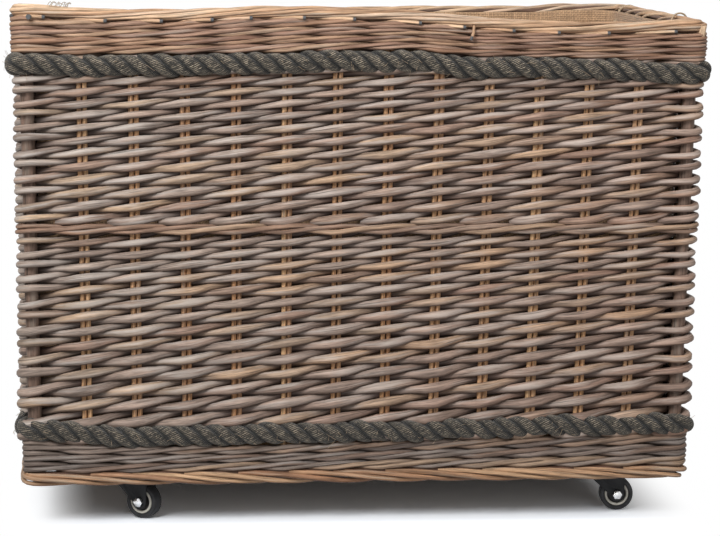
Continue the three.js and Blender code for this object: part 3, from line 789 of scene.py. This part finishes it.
def makeWeave(node, sizes):
    low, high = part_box(node)[0][2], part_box(node)[1][2] + sizes["above"]
    picks = random.Random(sizes["seed"])
    levels = sizes["levels"]
    thick = stepsBetween(sizes["butt"], sizes["tip"], levels - 1)
    room = (high - low) / sum(thick)
    heights = [low + (sum(thick[:k]) + thick[k] / 2) * room for k in range(levels)]
    guides = Guides()
    for start in range(stationCount):
        tone = picks.random()
        stout = picks.uniform(*weave["stoutness"]) * sizes["stout"] * room / 2
        track = Track()
        track.add(between(start - 0.5, heights[0] - thick[0] * 0.4, -0.004), thick[0] * stout, 0.6)
        for k in range(levels):
            radius = thick[k] * stout
            pitch = thick[k] * room
            z = heights[k] + picks.uniform(-weave["jitter"], weave["jitter"]) * pitch
            if stationOf(start + k)[1] == 0:
                z += weave["pairing"] * pitch * (1 if (k // 2) % 2 == 0 else -1)
            track.passStation(start + k, z, 1 if k % 2 == 0 else -1, radius, pitch / plan["stakeSpacing"],
                              weave["flat"], weave["pressed"])
            if k < levels - 1:
                middle = between(start + k + 0.5, (heights[k] + heights[k + 1]) / 2, 0.0)
                track.add(middle, radius * weave["midway"], 0.3)
        for ahead, up, depth in weave["tips"]:
            tip = between(start + levels + ahead, heights[-1] + thick[-1] * up, depth)
            track.add(tip, thick[-1] * stout * weave["tipThinning"], 1.0)
        guides.line(track.points, track.radii, tone, sunk=track.sunk)
    dress(makeRods(guides, sizes["name"], sizes["look"], step=0.0088), "weave", "basket", node)


for node, sizes in weaves.items():
    makeWeave(node, sizes)
print("walls woven")


# Wales: three rods in turn, in front of two stations and behind one

wales = {
    "top_wale": {"look": "brownWale", "rounds": 4, "stand": 1.9, "stout": (0.58, 0.70), "foot": 0.0,
                 "seed": 31},
    "mid_wale": {"look": "tanWale", "rounds": 1, "stand": 1.9, "stout": (0.44, 0.54), "foot": 0.0030,
                 "seed": 32},
    "bottom_wale": {"look": "greyWale", "rounds": 3, "stand": 1.25, "stout": (0.49, 0.57), "foot": 0.0008,
                    "seed": 33},
}
wale = {
    "rods": 3,
    "lengths": (18, 21, 24, 27),    # how many stations a rod runs past
    "levels": (0.5, 1.5, 1.0),
    "crossings": [(1.8, 1.0, 0.0), (0.4, 1.45, 0.35), (0.4, 0.55, 0.35)],    # radii out, pitches up, shade
    "jitter": 0.0003,
    "flat": 0.006,
    "behind": 0.8,
}


def makeWale(node, sizes):
    low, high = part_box(node)[0][2] + sizes["foot"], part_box(node)[1][2]
    picks = random.Random(sizes["seed"])
    pitch = (high - low) / (sizes["rounds"] * 2)
    slope = pitch / plan["stakeSpacing"]
    count = wale["rods"]
    last = (stationCount + 1) * count - 1
    guides = Guides()
    for number in range(sizes["rounds"]):
        base = low + number * 2 * pitch
        start = count - 1
        while start < last:
            end = min(start + picks.choice(wale["lengths"]), last)
            radius = pitch * picks.uniform(*sizes["stout"])
            track = Track()
            for t in range(start, end + 1):
                phase = t % count
                z = base + pitch * wale["levels"][phase] + picks.uniform(-wale["jitter"], wale["jitter"])
                if phase == count - 1:
                    track.passStation(t, z, -1, radius, 0.0, wale["flat"], wale["behind"])
                else:
                    track.passStation(t, z, 1, radius, slope, wale["flat"], sizes["stand"])
                if t < end:
                    out, up, sunk = wale["crossings"][phase]
                    track.add(between(t + 0.5, base + pitch * up, radius * out), radius, sunk)
            tone = picks.random()
            guides.line(track.points, track.radii, tone, cutStart=True, cutEnd=True, sunk=track.sunk)
            start = end
    laid = makeRods(guides, node + "Rods", sizes["look"])
    if node == "top_wale":
        settleRim(laid)
        settle(laid, node, lambda share, x, y: (1 - share) * ropeShift("top", x, y))
    elif node == "bottom_wale":
        settle(laid, node, lambda share, x, y: share * ropeShift("bottom", x, y))
    dress(laid, "wale", "basket", node)


for node, sizes in wales.items():
    makeWale(node, sizes)
print("wales laid")


# Borders: each stake is laid down along the rim, up over the ones beyond it and in; on the top border a cut
# tail shows at each

borders = {                    # stations: how many of them a laid stake covers
    "top_border": {"name": "topBorderRods", "look": "tanBorder", "inner": 0.0105, "reach": 0.011,
                   "upright": 1, "radius": 0.0026, "stations": 5.2, "sag": 0.0, "rise": 0.0, "seed": 41},
    "bottom_border": {"name": "bottomBorderRods", "look": "brownBorder", "inner": 0.0165, "reach": 0.0124,
                      "upright": -1, "radius": 0.0030, "stations": 3.9, "sag": 0.0015, "rise": 0.0020,
                      "seed": 42},
}
border = {
    "turns": (-55.0, 235.0),   # degrees round the rim's section, from outside low over the top to inside low
    "easing": 1.7,
    "steps": 24,
    "postBend": 0.2,           # share of a space that the bend round a corner post takes
    "tailRadius": 0.0022,
    "tail": ((0.4, -0.006), (0.72, -0.0028), (0.98, -0.0008)),
    "coreRadius": 0.0027,
    "cores": ((-0.45, -0.5), (0.0, 0.0), (0.45, -0.35), (-0.75, 0.1), (0.1, -0.95), (0.5, -0.95)),
    "stubs": [([(-0.3640, -0.1900, 0.5800), (-0.3720, -0.2120, 0.5803), (-0.3770, -0.2296, 0.5806)],
               0.0029, True),
              ([(0.3880, -0.2150, 0.5680), (0.3898, -0.2175, 0.5800), (0.3908, -0.2190, 0.5885)],
               0.0040, False)],
    "snappedEnd": [(0.1245, 0.5838, 0.0080), (0.1238, 0.5785, 0.0135), (0.1222, 0.5715, 0.0156),
                   (0.1200, 0.5650, 0.0158)],
}


def borderPoint(t, z, depth):
    whole = math.floor(t)
    share = t - whole
    wall, local = stationOf(whole)
    nextWall, nextLocal = stationOf(whole + 1)
    bend = border["postBend"]
    if local == 0 and share < bend:
        return postPoint(wall, 0.5 + share / bend / 2, z, depth + plan["postInset"])
    if nextLocal == 0 and share > 1 - bend:
        return postPoint(nextWall, (share - (1 - bend)) / bend / 2, z, depth + plan["postInset"])
    if local == 0:
        share = (share - bend) / (1 - bend)
    elif nextLocal == 0:
        share = share / (1 - bend)
    start, end = alongAt(wall, local, z), alongAt(wall, local + 1, z)
    return wallPoint(wall, start + (end - start) * share, z, depth)


def makeBorder(node, sizes):
    low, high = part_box(node)[0][2] - sizes["sag"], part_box(node)[1][2] + sizes["rise"]
    upright, reach = sizes["upright"], sizes["reach"]
    picks = random.Random(sizes["seed"])
    middle = (low + high) / 2
    centre = (reach - sizes["inner"]) / 2
    halfHigh = (high - low) / 2 - sizes["radius"] * 0.9
    halfWide = (reach + sizes["inner"]) / 2 - sizes["radius"] * 0.9
    guides = Guides()
    steps = border["steps"]
    startTurn, endTurn = border["turns"]
    for index in range(stationCount):
        length = sizes["stations"] + picks.uniform(-0.3, 0.3)
        start = index + picks.uniform(-0.12, 0.12)
        points = []
        for share in stepsBetween(0, 1, steps):
            turn = math.radians(startTurn + (endTurn - startTurn) * share ** border["easing"])
            z = middle + upright * halfHigh * math.sin(turn)
            points.append(borderPoint(start + share * length, z, centre + halfWide * math.cos(turn)))
        radius = sizes["radius"] * picks.uniform(0.88, 1.12)
        guides.line(points, [radius * (1 - 0.1 * i / steps) for i in range(steps + 1)], picks.random())
        if node == "top_border":
            foot = middle - (high - low) * 0.46
            middleOf = index + 0.5 + picks.uniform(-0.18, 0.18)
            tail = [(-0.05, -0.003)] + [(t, reach + depth) for t, depth in border["tail"]]
            points = [borderPoint(middleOf + t, foot, depth) for t, depth in tail]
            guides.line(points, border["tailRadius"], picks.random(), cutEnd=True)
    for spread, lift in border["cores"]:
        z = middle + upright * halfHigh * lift
        points = [borderPoint(step / 4, z, centre + halfWide * spread) for step in range(stationCount * 4)]
        guides.line(points, border["coreRadius"], picks.random(), closed=True, sunk=1.0)
    if node == "top_border":
        snapped = [wallPoint(0, along, z, depth) for along, z, depth in border["snappedEnd"]]
        guides.line(snapped, border["tailRadius"] * 0.8, 0.1, cutEnd=True)
        for stub, radius, cut in border["stubs"]:
            guides.line(stub, radius, 0.5, cutEnd=cut)
    laid = makeRods(guides, sizes["name"], sizes["look"], step=0.0075, wobble=0.001)
    if node == "top_border":
        settleRim(laid)
    dress(laid, "border", "basket", node)


for node, sizes in borders.items():
    makeBorder(node, sizes)
print("borders laid")


# Ropes: three strands laid up into one ring, once round the basket

rope = {
    "lobeOut": 0.0036,         # from the rope's middle to a strand's own middle
    "lobeRadius": 0.0090,
    "groove": 0.0020,
    "grooveTurn": 0.19,
    "layLength": 0.062,
    "around": 54,
    "step": 0.003,
    "wave": 0.0009,
    "lump": 0.075,
    "sidePress": 0.0035,       # the ends' ropes lie closer, away from the corners
    "hairs": 150,
    "hairRadius": 0.0002,
    "hairLength": 0.016,
}


def onCircle(angle):
    return Vector((math.cos(angle), math.sin(angle)))


def rectanglePath(halfLength, halfDepth, radius, step):
    straight = [2 * (halfDepth - radius), 2 * (halfLength - radius)]
    points = []
    for corner in range(4):
        x = (halfLength - radius) * (1 if corner in (0, 3) else -1)
        y = (halfDepth - radius) * (1 if corner < 2 else -1)
        count = max(6, round(radius * math.pi / 2 / step))
        for i in range(count + 1):
            angle = (corner + i / count) * math.pi / 2
            spot = Vector((x + radius * math.cos(angle), y + radius * math.sin(angle)))
            if i < count:
                points.append((spot, angle))
        run = straight[(corner + 1) % 2]
        count = round(run / step)
        ahead = Vector((-math.sin(angle), math.cos(angle)))
        points.extend((spot + ahead * run * i / count, angle) for i in range(count))
    return points


def measured(path):
    lengths = [0.0]
    for i in range(1, len(path) + 1):
        lengths.append(lengths[-1] + (path[i % len(path)][0] - path[i - 1][0]).length)
    return lengths


def ringFaces(rows, around, closed=False):
    faces = []
    for row in range(rows if closed else rows - 1):
        first, after = row * around, (row + 1) % rows * around
        for j in range(around):
            k = (j + 1) % around
            faces.append((first + j, after + j, after + k, first + k))
    return faces


def ropeSurface(angle):
    third = 2 * math.pi / 3
    turn = (angle + third / 2) % third - third / 2
    across = rope["lobeOut"] * math.sin(turn)
    lobe = rope["lobeOut"] * math.cos(turn) + math.sqrt(rope["lobeRadius"] ** 2 - across ** 2)
    edge = (third / 2 - abs(turn)) / rope["grooveTurn"]
    return lobe - rope["groove"] * math.exp(-edge * edge), abs(turn) / (third / 2)


def makeRope(end, seed, drawnIn):
    node, name = end + "_rope", end + "RopeStrands"
    low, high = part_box(node)
    middle = (low[2] + high[2]) / 2
    outer = rope["lobeOut"] + rope["lobeRadius"]
    radius = plan["postInset"] + high[0] - stakeLine(middle)[0] - outer
    path = rectanglePath(high[0] - outer - drawnIn, high[1] - outer, radius, rope["step"])
    lengths = measured(path)
    turns = round(lengths[-1] / rope["layLength"])
    picks = random.Random(seed)
    around = rope["around"]
    verts, rings = [], []
    values = {"along": [], "tone": [], "lay": []}
    for (spot, angle), travelled in zip(path, lengths):
        theta = -2 * math.pi * turns * travelled / lengths[-1]
        sway = rope["wave"] * (math.sin(travelled * 21 + seed) + math.sin(travelled * 57))
        level = middle + sway + ropeShift(end, spot.x, spot.y)
        onEnd = abs(math.cos(angle)) > 0.999
        press = rope["sidePress"] * eased(high[1] - abs(spot.y), 0.03, 0.09) if onEnd else 0.0
        for j in range(around):
            strand = j * 3 // around
            lay = 2 * math.pi * (j + 0.5) / around
            reach, edge = ropeSurface(lay - math.pi / 3)
            reach *= 1 + rope["lump"] * math.sin(travelled * 131 + strand * 2 + seed)
            turn = lay + theta
            place = spot + onCircle(angle) * (reach * math.cos(turn) - press)
            verts.append((*place, level + reach * math.sin(turn)))
            rings.extend((math.cos(turn), math.sin(turn), 0.0))
            for key, value in zip(values, (travelled, strand / 3, edge)):
                values[key].append(value)
    strands = addMesh(name, verts, ringFaces(len(path), around, closed=True), looks["rope"])
    for key, levels in values.items():
        strands.data.attributes.new(key, "FLOAT", "POINT").data.foreach_set("value", levels)
    strands.data.attributes.new("ring", "FLOAT_VECTOR", "POINT").data.foreach_set("vector", rings)
    smoothFaces(strands)
    dress(strands, "rope", "basket", node)
    loose = Guides()
    for hair in range(rope["hairs"]):
        spot, angle = path[picks.randrange(len(path))]
        turn = math.radians(picks.uniform(-70, 70))
        away = (onCircle(angle) * math.cos(turn)).to_3d() + Vector((0, 0, math.sin(turn)))
        root = Vector((*spot, middle + ropeShift(end, *spot))) + away * outer * 0.8
        drift = Vector((-math.sin(angle), math.cos(angle), 0)) * picks.uniform(-1, 1)
        drift.z = picks.uniform(-0.8, 0.5)
        tip = root + away * outer * 0.4 + drift * rope["hairLength"] * picks.uniform(0.4, 1.0)
        loose.line([root, (root + tip) / 2 + away * 0.0015, tip], rope["hairRadius"], picks.random())
    dress(makeRods(loose, name + "Hairs", "cord", sides=4, step=0.003, wobble=0.002), "rope", "basket")


makeRope("top", 1, 0.0)
makeRope("bottom", 2, 0.0022)
print("ropes laid")


# Hessian lining: a strip round the walls with a turned hem, a panel on the floor, and cord ties at the rim

lining = {
    "wallInset": 0.0119,       # from the stake line to the cloth
    "cornerRadius": 0.030,
    "rows": 40,
    "step": 0.009,
    "ripple": 0.0032,
    "looseFrom": 0.08,
    "floorLift": 0.0023,
    "floorCells": (90, 48),
    "floorSwell": 0.0006,
    "tuck": 0.0115,            # the hem reaches up under the border
    "hem": [(-0.016, 0.0002), (-0.0154, 0.0012), (-0.011, 0.0012), (-0.006, 0.0012), (-0.0012, 0.0012),
            (0.0, 0.00096), (0.0008, 0.0002)],    # up from the cloth's head, and out from its face
}
linerLow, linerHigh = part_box("liner")
clothFoot = linerLow[2] + 0.0006
clothHead = linerHigh[2] + lining["tuck"]


def clothObject(name, verts, faces, uvs):
    obj = addMesh(name, verts, faces, looks["cloth"])
    layer = obj.data.uv_layers.new(name="cloth")
    layer.data.foreach_set("uv", [part for uv in uvs for part in uv])
    smoothFaces(obj)
    dress(obj, "hessian", "basket")
    return obj


def clothSpot(spot, angle, along, z, stand):
    foot, half = stakeLine(clothFoot), stakeLine(z)
    ripple = lining["ripple"] * (0.5 + 0.5 * math.sin(along * 23 + 2.2 * math.sin(z * 11 + along * 3)))
    ripple += lining["ripple"] * 0.4 * (0.5 + 0.5 * math.sin(along * 61 + z * 29))
    inward = ripple * min(1.0, (z - clothFoot) / lining["looseFrom"]) + stand
    leanX = (half[0] - foot[0]) * max(-1, min(1, spot.x / 0.3))
    leanY = (half[1] - foot[1]) * max(-1, min(1, spot.y / 0.15))
    return (spot.x + leanX - math.cos(angle) * inward, spot.y + leanY - math.sin(angle) * inward, z)


def clothBand(name, heights, stands):
    foot = [half - lining["wallInset"] for half in stakeLine(clothFoot)]
    path = rectanglePath(*foot, lining["cornerRadius"], lining["step"])
    lengths = measured(path)
    around = len(path)
    verts, faces, uvs = [], [], []
    for z, stand in zip(heights, stands):
        verts.extend(clothSpot(spot, angle, along, z, stand) for (spot, angle), along in zip(path, lengths))
    drops = [0.0]
    for row in range(1, len(heights)):
        drops.append(drops[-1] + math.hypot(heights[row] - heights[row - 1], stands[row] - stands[row - 1]))
    for row in range(len(heights) - 1):
        for i in range(around):
            j = (i + 1) % around
            faces.append((row * around + j, row * around + i, (row + 1) * around + i, (row + 1) * around + j))
            near, far = lengths[i], lengths[i + 1]
            uvs.extend([(far, drops[row]), (near, drops[row]), (near, drops[row + 1]), (far, drops[row + 1])])
    return clothObject(name, verts, faces, uvs), lengths[-1]


def makeLiningFloor():
    reach = [half - lining["wallInset"] - 0.001 for half in stakeLine(clothFoot)]
    corner = lining["cornerRadius"]
    columns, rows = lining["floorCells"]
    verts, faces = [], []
    for row in range(rows + 1):
        for column in range(columns + 1):
            x = reach[0] * (2 * column / columns - 1)
            y = reach[1] * (2 * row / rows - 1)
            overX, overY = abs(x) - (reach[0] - corner), abs(y) - (reach[1] - corner)
            if overX > 0 and overY > 0:
                pull = max(overX, overY) / math.hypot(overX, overY)
                x = math.copysign(reach[0] - corner + overX * pull, x)
                y = math.copysign(reach[1] - corner + overY * pull, y)
            swell = math.sin(x * 19 + 2 * math.sin(y * 13)) + math.sin(y * 31 + x * 9)
            verts.append((x, y, linerLow[2] + lining["floorLift"] + lining["floorSwell"] * swell))
    for row in range(rows):
        for first in range(row * (columns + 1), row * (columns + 1) + columns):
            faces.append((first, first + 1, first + columns + 2, first + columns + 1))
    uvs = [verts[i][:2] for face in faces for i in face]
    floorCloth = clothObject("liningFloor", verts, faces, uvs)


tie = {
    "radius": 0.0015,
    "ring": [(-0.0140, 0.5725), (-0.0138, 0.5800), (-0.0120, 0.5870), (-0.0070, 0.5922), (0.0020, 0.5938),
             (0.0086, 0.5912), (0.0108, 0.5865), (0.0080, 0.5800), (-0.0040, 0.5765), (-0.0120, 0.5730)],
    "bow": [(-0.0150, 0.5760, 0.0), (-0.0185, 0.5720, 0.005), (-0.0190, 0.5640, 0.008),
            (-0.0185, 0.5600, 0.005), (-0.0180, 0.5660, 0.001), (-0.0180, 0.5740, -0.001),
            (-0.0185, 0.5680, -0.004), (-0.0190, 0.5540, -0.006), (-0.0185, 0.5520, -0.008),
            (-0.0180, 0.5640, -0.006), (-0.0165, 0.5740, -0.002)],
    "fromCorner": 0.020,
    "frays": 12,
    "frayPlace": -0.345,
    "frayHeights": (0.5930, 0.5960, 0.5975),
    "frayRadius": 0.00032,
    "loop": [(-0.0120, 0.5780), (-0.0118, 0.5870), (-0.0080, 0.5948), (-0.0005, 0.5978), (0.0066, 0.5952),
             (0.0105, 0.5870), (0.0118, 0.5800), (0.0105, 0.5720)],
    "loopPlace": -0.125,
    "loopDrift": 0.016,
    "loopRadius": 0.0011,
}


def makeTies():
    guides = Guides()
    picks = random.Random(51)
    along = alongAt(1, len(wallPlaces[1]), linerHigh[2]) + tie["fromCorner"]
    for lean in (-tie["radius"], tie["radius"]):
        ring = [wallPoint(1, along + lean, z, depth) for depth, z in tie["ring"]]
        guides.line(ring, tie["radius"], picks.random(), closed=True)
    bow = [wallPoint(1, along + side, z, depth) for depth, z, side in tie["bow"]]
    guides.line(bow, tie["radius"] * 0.9, picks.random(), closed=True)
    foot, knee, head = tie["frayHeights"]
    for fray in range(tie["frays"]):
        along = tie["frayPlace"] + picks.uniform(-0.012, 0.012)
        depth = picks.uniform(-0.004, 0.006)
        top = head + picks.uniform(0.0, 0.0026)
        bend = picks.uniform(-0.005, 0.005)
        places = ((0.0, foot), (0.4, knee), (1.0, top), (1.7, top - 0.0015))
        points = [wallPoint(0, along + bend * share, z, depth) for share, z in places]
        guides.line(points, tie["frayRadius"], picks.random())
    places = stepsBetween(0.0, tie["loopDrift"], len(tie["loop"]) - 1)
    loop = [wallPoint(1, tie["loopPlace"] + drift, z, depth)
            for drift, (depth, z) in zip(places, tie["loop"])]
    guides.line(loop, tie["loopRadius"], picks.random())
    ties = makeRods(guides, "liningTies", "cord", sides=8, step=0.002, wobble=0.0006, swelling=0.2)
    settleRim(ties)
    dress(ties, "hessian", "basket")
    return ties


def makeLining():
    heights = stepsBetween(clothFoot, clothHead, lining["rows"])
    walls, length = clothBand("liningWalls", heights, [0.0] * len(heights))
    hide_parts("liner")
    settleRim(walls)
    hem = clothBand("liningHem", [clothHead + up for up, out in lining["hem"]],
                    [out for up, out in lining["hem"]])[0]
    settleRim(hem)
    ties = makeTies()


makeLining()
makeLiningFloor()
print("lining hung")


# Castors: black swivel forks, black tyres on pale rims, bright bolts

castor = {
    "segments": 64,
    "turnedBevel": 0.0003,
    "tyre": (0.020, 0.0144, 0.0085, 0.0027),      # radius, inner radius, half width, shoulder
    "rim": (0.0112, 0.0143, 0.0080),              # inner radius, outer radius, half width
    "hub": (0.0034, 0.0078, 0.0091, 0.0030, 0.0111),    # bore, radius, half width, half web, outer radius
    "screwShape": {"Head": 0.0037, "Rise": 0.0019, "Slot": 0.0009},
    "screwPlace": 0.0160,      # from the swivel's middle, along each side of the plate
}
# For each node: the piece's name, look and slot, whether its fork carries it, and the bevel's width
pressed = {
    "fork": ("forkPressed", "blackPaint", "fork", True, 0.0007),
    "axle_bolt": ("axleBoltHead", "zincBright", "zinc", True, 0.0005),
    "axle_nut": ("axleNutHex", "zincBright", "zinc", True, 0.0005),
    "castor_plate": ("topPlate", "zincPlate", "zinc", False, 0.0004),
    "swivel_race": ("ballRace", "zincPlate", "zinc", False, 0.0004),
    "kingpin": ("kingpinRivet", "zincPlate", "zinc", False, 0.0004),
}


def softenEdges(obj, width, angle):
    bevel = obj.modifiers.new("softEdges", "BEVEL")
    bevel.width = width
    bevel.segments = 2
    bevel.limit_method = "ANGLE"
    bevel.angle_limit = math.radians(angle)
    bevel.harden_normals = True
    makeReal(obj)
    smoothFaces(obj)


def pressedPiece(node, name, look, slot, body, width):
    mesh = frame["nodes"][node].data.copy()
    mesh.name = name
    work = bmesh.new()
    work.from_mesh(mesh)
    bmesh.ops.remove_doubles(work, verts=work.verts, dist=0.00001)
    bmesh.ops.dissolve_limit(work, angle_limit=math.radians(3), verts=work.verts, edges=work.edges)
    work.to_mesh(mesh)
    work.free()
    mesh.materials.clear()
    mesh.materials.append(looks[look])
    obj = addObject(name, mesh)
    softenEdges(obj, width, 32)
    dress(obj, slot, body, node)


def turnedPiece(name, centre, side, profile, look, slot, body, node):
    ahead = side.cross(Vector((0, 0, 1))).normalized()
    up = ahead.cross(side)
    segments = castor["segments"]
    verts = []
    for segment in range(segments):
        angle = 2 * math.pi * segment / segments
        spoke = ahead * math.cos(angle) + up * math.sin(angle)
        verts.extend(centre + spoke * radius + side * across for radius, across in profile)
    obj = addMesh(name, verts, ringFaces(segments, len(profile), closed=True), looks[look])
    work = bmesh.new()
    work.from_mesh(obj.data)
    bmesh.ops.recalc_face_normals(work, faces=work.faces)
    work.to_mesh(obj.data)
    work.free()
    softenEdges(obj, castor["turnedBevel"], 40)
    dress(obj, slot, body, node)


def mirrored(half, start=0, end=None):
    return half + [(radius, -across) for radius, across in reversed(half[start:end])]


def tyreProfile():
    outer, inner, half, shoulder = castor["tyre"]
    profile = [(inner, 0.0), (inner, half - 0.0014), (inner + 0.0008, half - 0.0004), (inner + 0.0018, half)]
    for turn in stepsBetween(0, math.pi / 2, 6):
        radius = outer - 0.0002 - shoulder * (1 - math.sin(turn))
        profile.append((radius, half - shoulder * (1 - math.cos(turn))))
    return mirrored(profile + [(outer - 0.0001, 0.003), (outer, 0.0)], 1, -1)


def rimProfile():
    inner, outer, half = castor["rim"]
    return mirrored([(inner, half - 0.0008), (inner + 0.0008, half), (outer - 0.0006, half),
                     (outer, half - 0.0012)])


def hubProfile():
    bore, hub, half, web, outer = castor["hub"]
    return mirrored([(bore, half), (hub - 0.0008, half), (hub, half - 0.0008), (hub + 0.0004, web + 0.0004),
                     (outer - 0.0008, web), (outer, web + 0.0014)])


def buildScrewTree():
    n, given = startGroup("screwsOnPoints", Head="Float", Rise="Float", Slot="Float", Material="Material")
    head, rise, slot = given["Head"], given["Rise"], given["Slot"]
    ball = n.add("GeometryNodeMeshUVSphere", {"Segments": 20, "Rings": 10, "Radius": 1.0})
    carved = n.add("GeometryNodeTransform", {"Geometry": ball, "Scale": n.joined(head, head, rise)})
    down = n.joined(0.0, 0.0, n.times(rise, -1.0))
    for size in ((head, slot), (slot, head)):
        bar = n.add("GeometryNodeMeshCube", {"Size": n.joined(*size, rise)})
        lowered = n.add("GeometryNodeTransform", {"Geometry": bar, "Translation": down})
        carved = n.add("GeometryNodeMeshBoolean", {"Mesh 1": carved, "Mesh 2": lowered},
                       operation="DIFFERENCE")
    placed = n.add("GeometryNodeInstanceOnPoints", {"Points": given["Geometry"], "Instance": carved})
    return n.realized(placed, given["Material"])


def makeScrews():
    away = castor["screwPlace"]
    points = []
    for corner in corners:
        low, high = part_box("castor_plate_" + corner)
        x, y = ((low[i] + high[i]) / 2 for i in (0, 1))
        points.extend((x + i * away, y + j * away, low[2]) for i in (-1, 1) for j in (-1, 1))
    screws = grow(addMesh("plateScrews", points, []), buildScrewTree(),
                  {**castor["screwShape"], "Material": looks["zincPlate"]})
    screws.data.set_sharp_from_angle(angle=math.radians(40))
    dress(screws, "zinc", "basket")


def makeCastor(corner):
    joint = next(row for row in frame["joints"] if row["name"] == "roll_" + corner)
    side = Vector(joint["axis"]).normalized()
    low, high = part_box("tyre_" + corner)
    centre = Vector([(low[i] + high[i]) / 2 for i in range(3)])
    turned = (("tyreTurned_", tyreProfile(), "tyreRubber", "tyre", "tyre_"),
              ("wheelRim_", rimProfile(), "creamPlastic", "cream", "wheel_core_"),
              ("wheelHub_", hubProfile(), "hubPlastic", "tyre", "wheel_core_"))
    for name, profile, look, slot, node in turned:
        turnedPiece(name + corner, centre, side, profile, look, slot, "wheel_" + corner, node + corner)
    for node, (name, look, slot, onFork, width) in pressed.items():
        body = "fork_" + corner if onFork else "basket"
        pressedPiece(node + "_" + corner, name + "_" + corner, look, slot, body, width)


for corner in corners:
    makeCastor(corner)
makeScrews()
print("castors fitted")


# Plywood base under the lining, on two battens

for name in ("base_board", "base_batten_left", "base_batten_right"):
    node = frame["nodes"][name]
    node.data.materials.clear()
    node.data.materials.append(looks["plywood"])
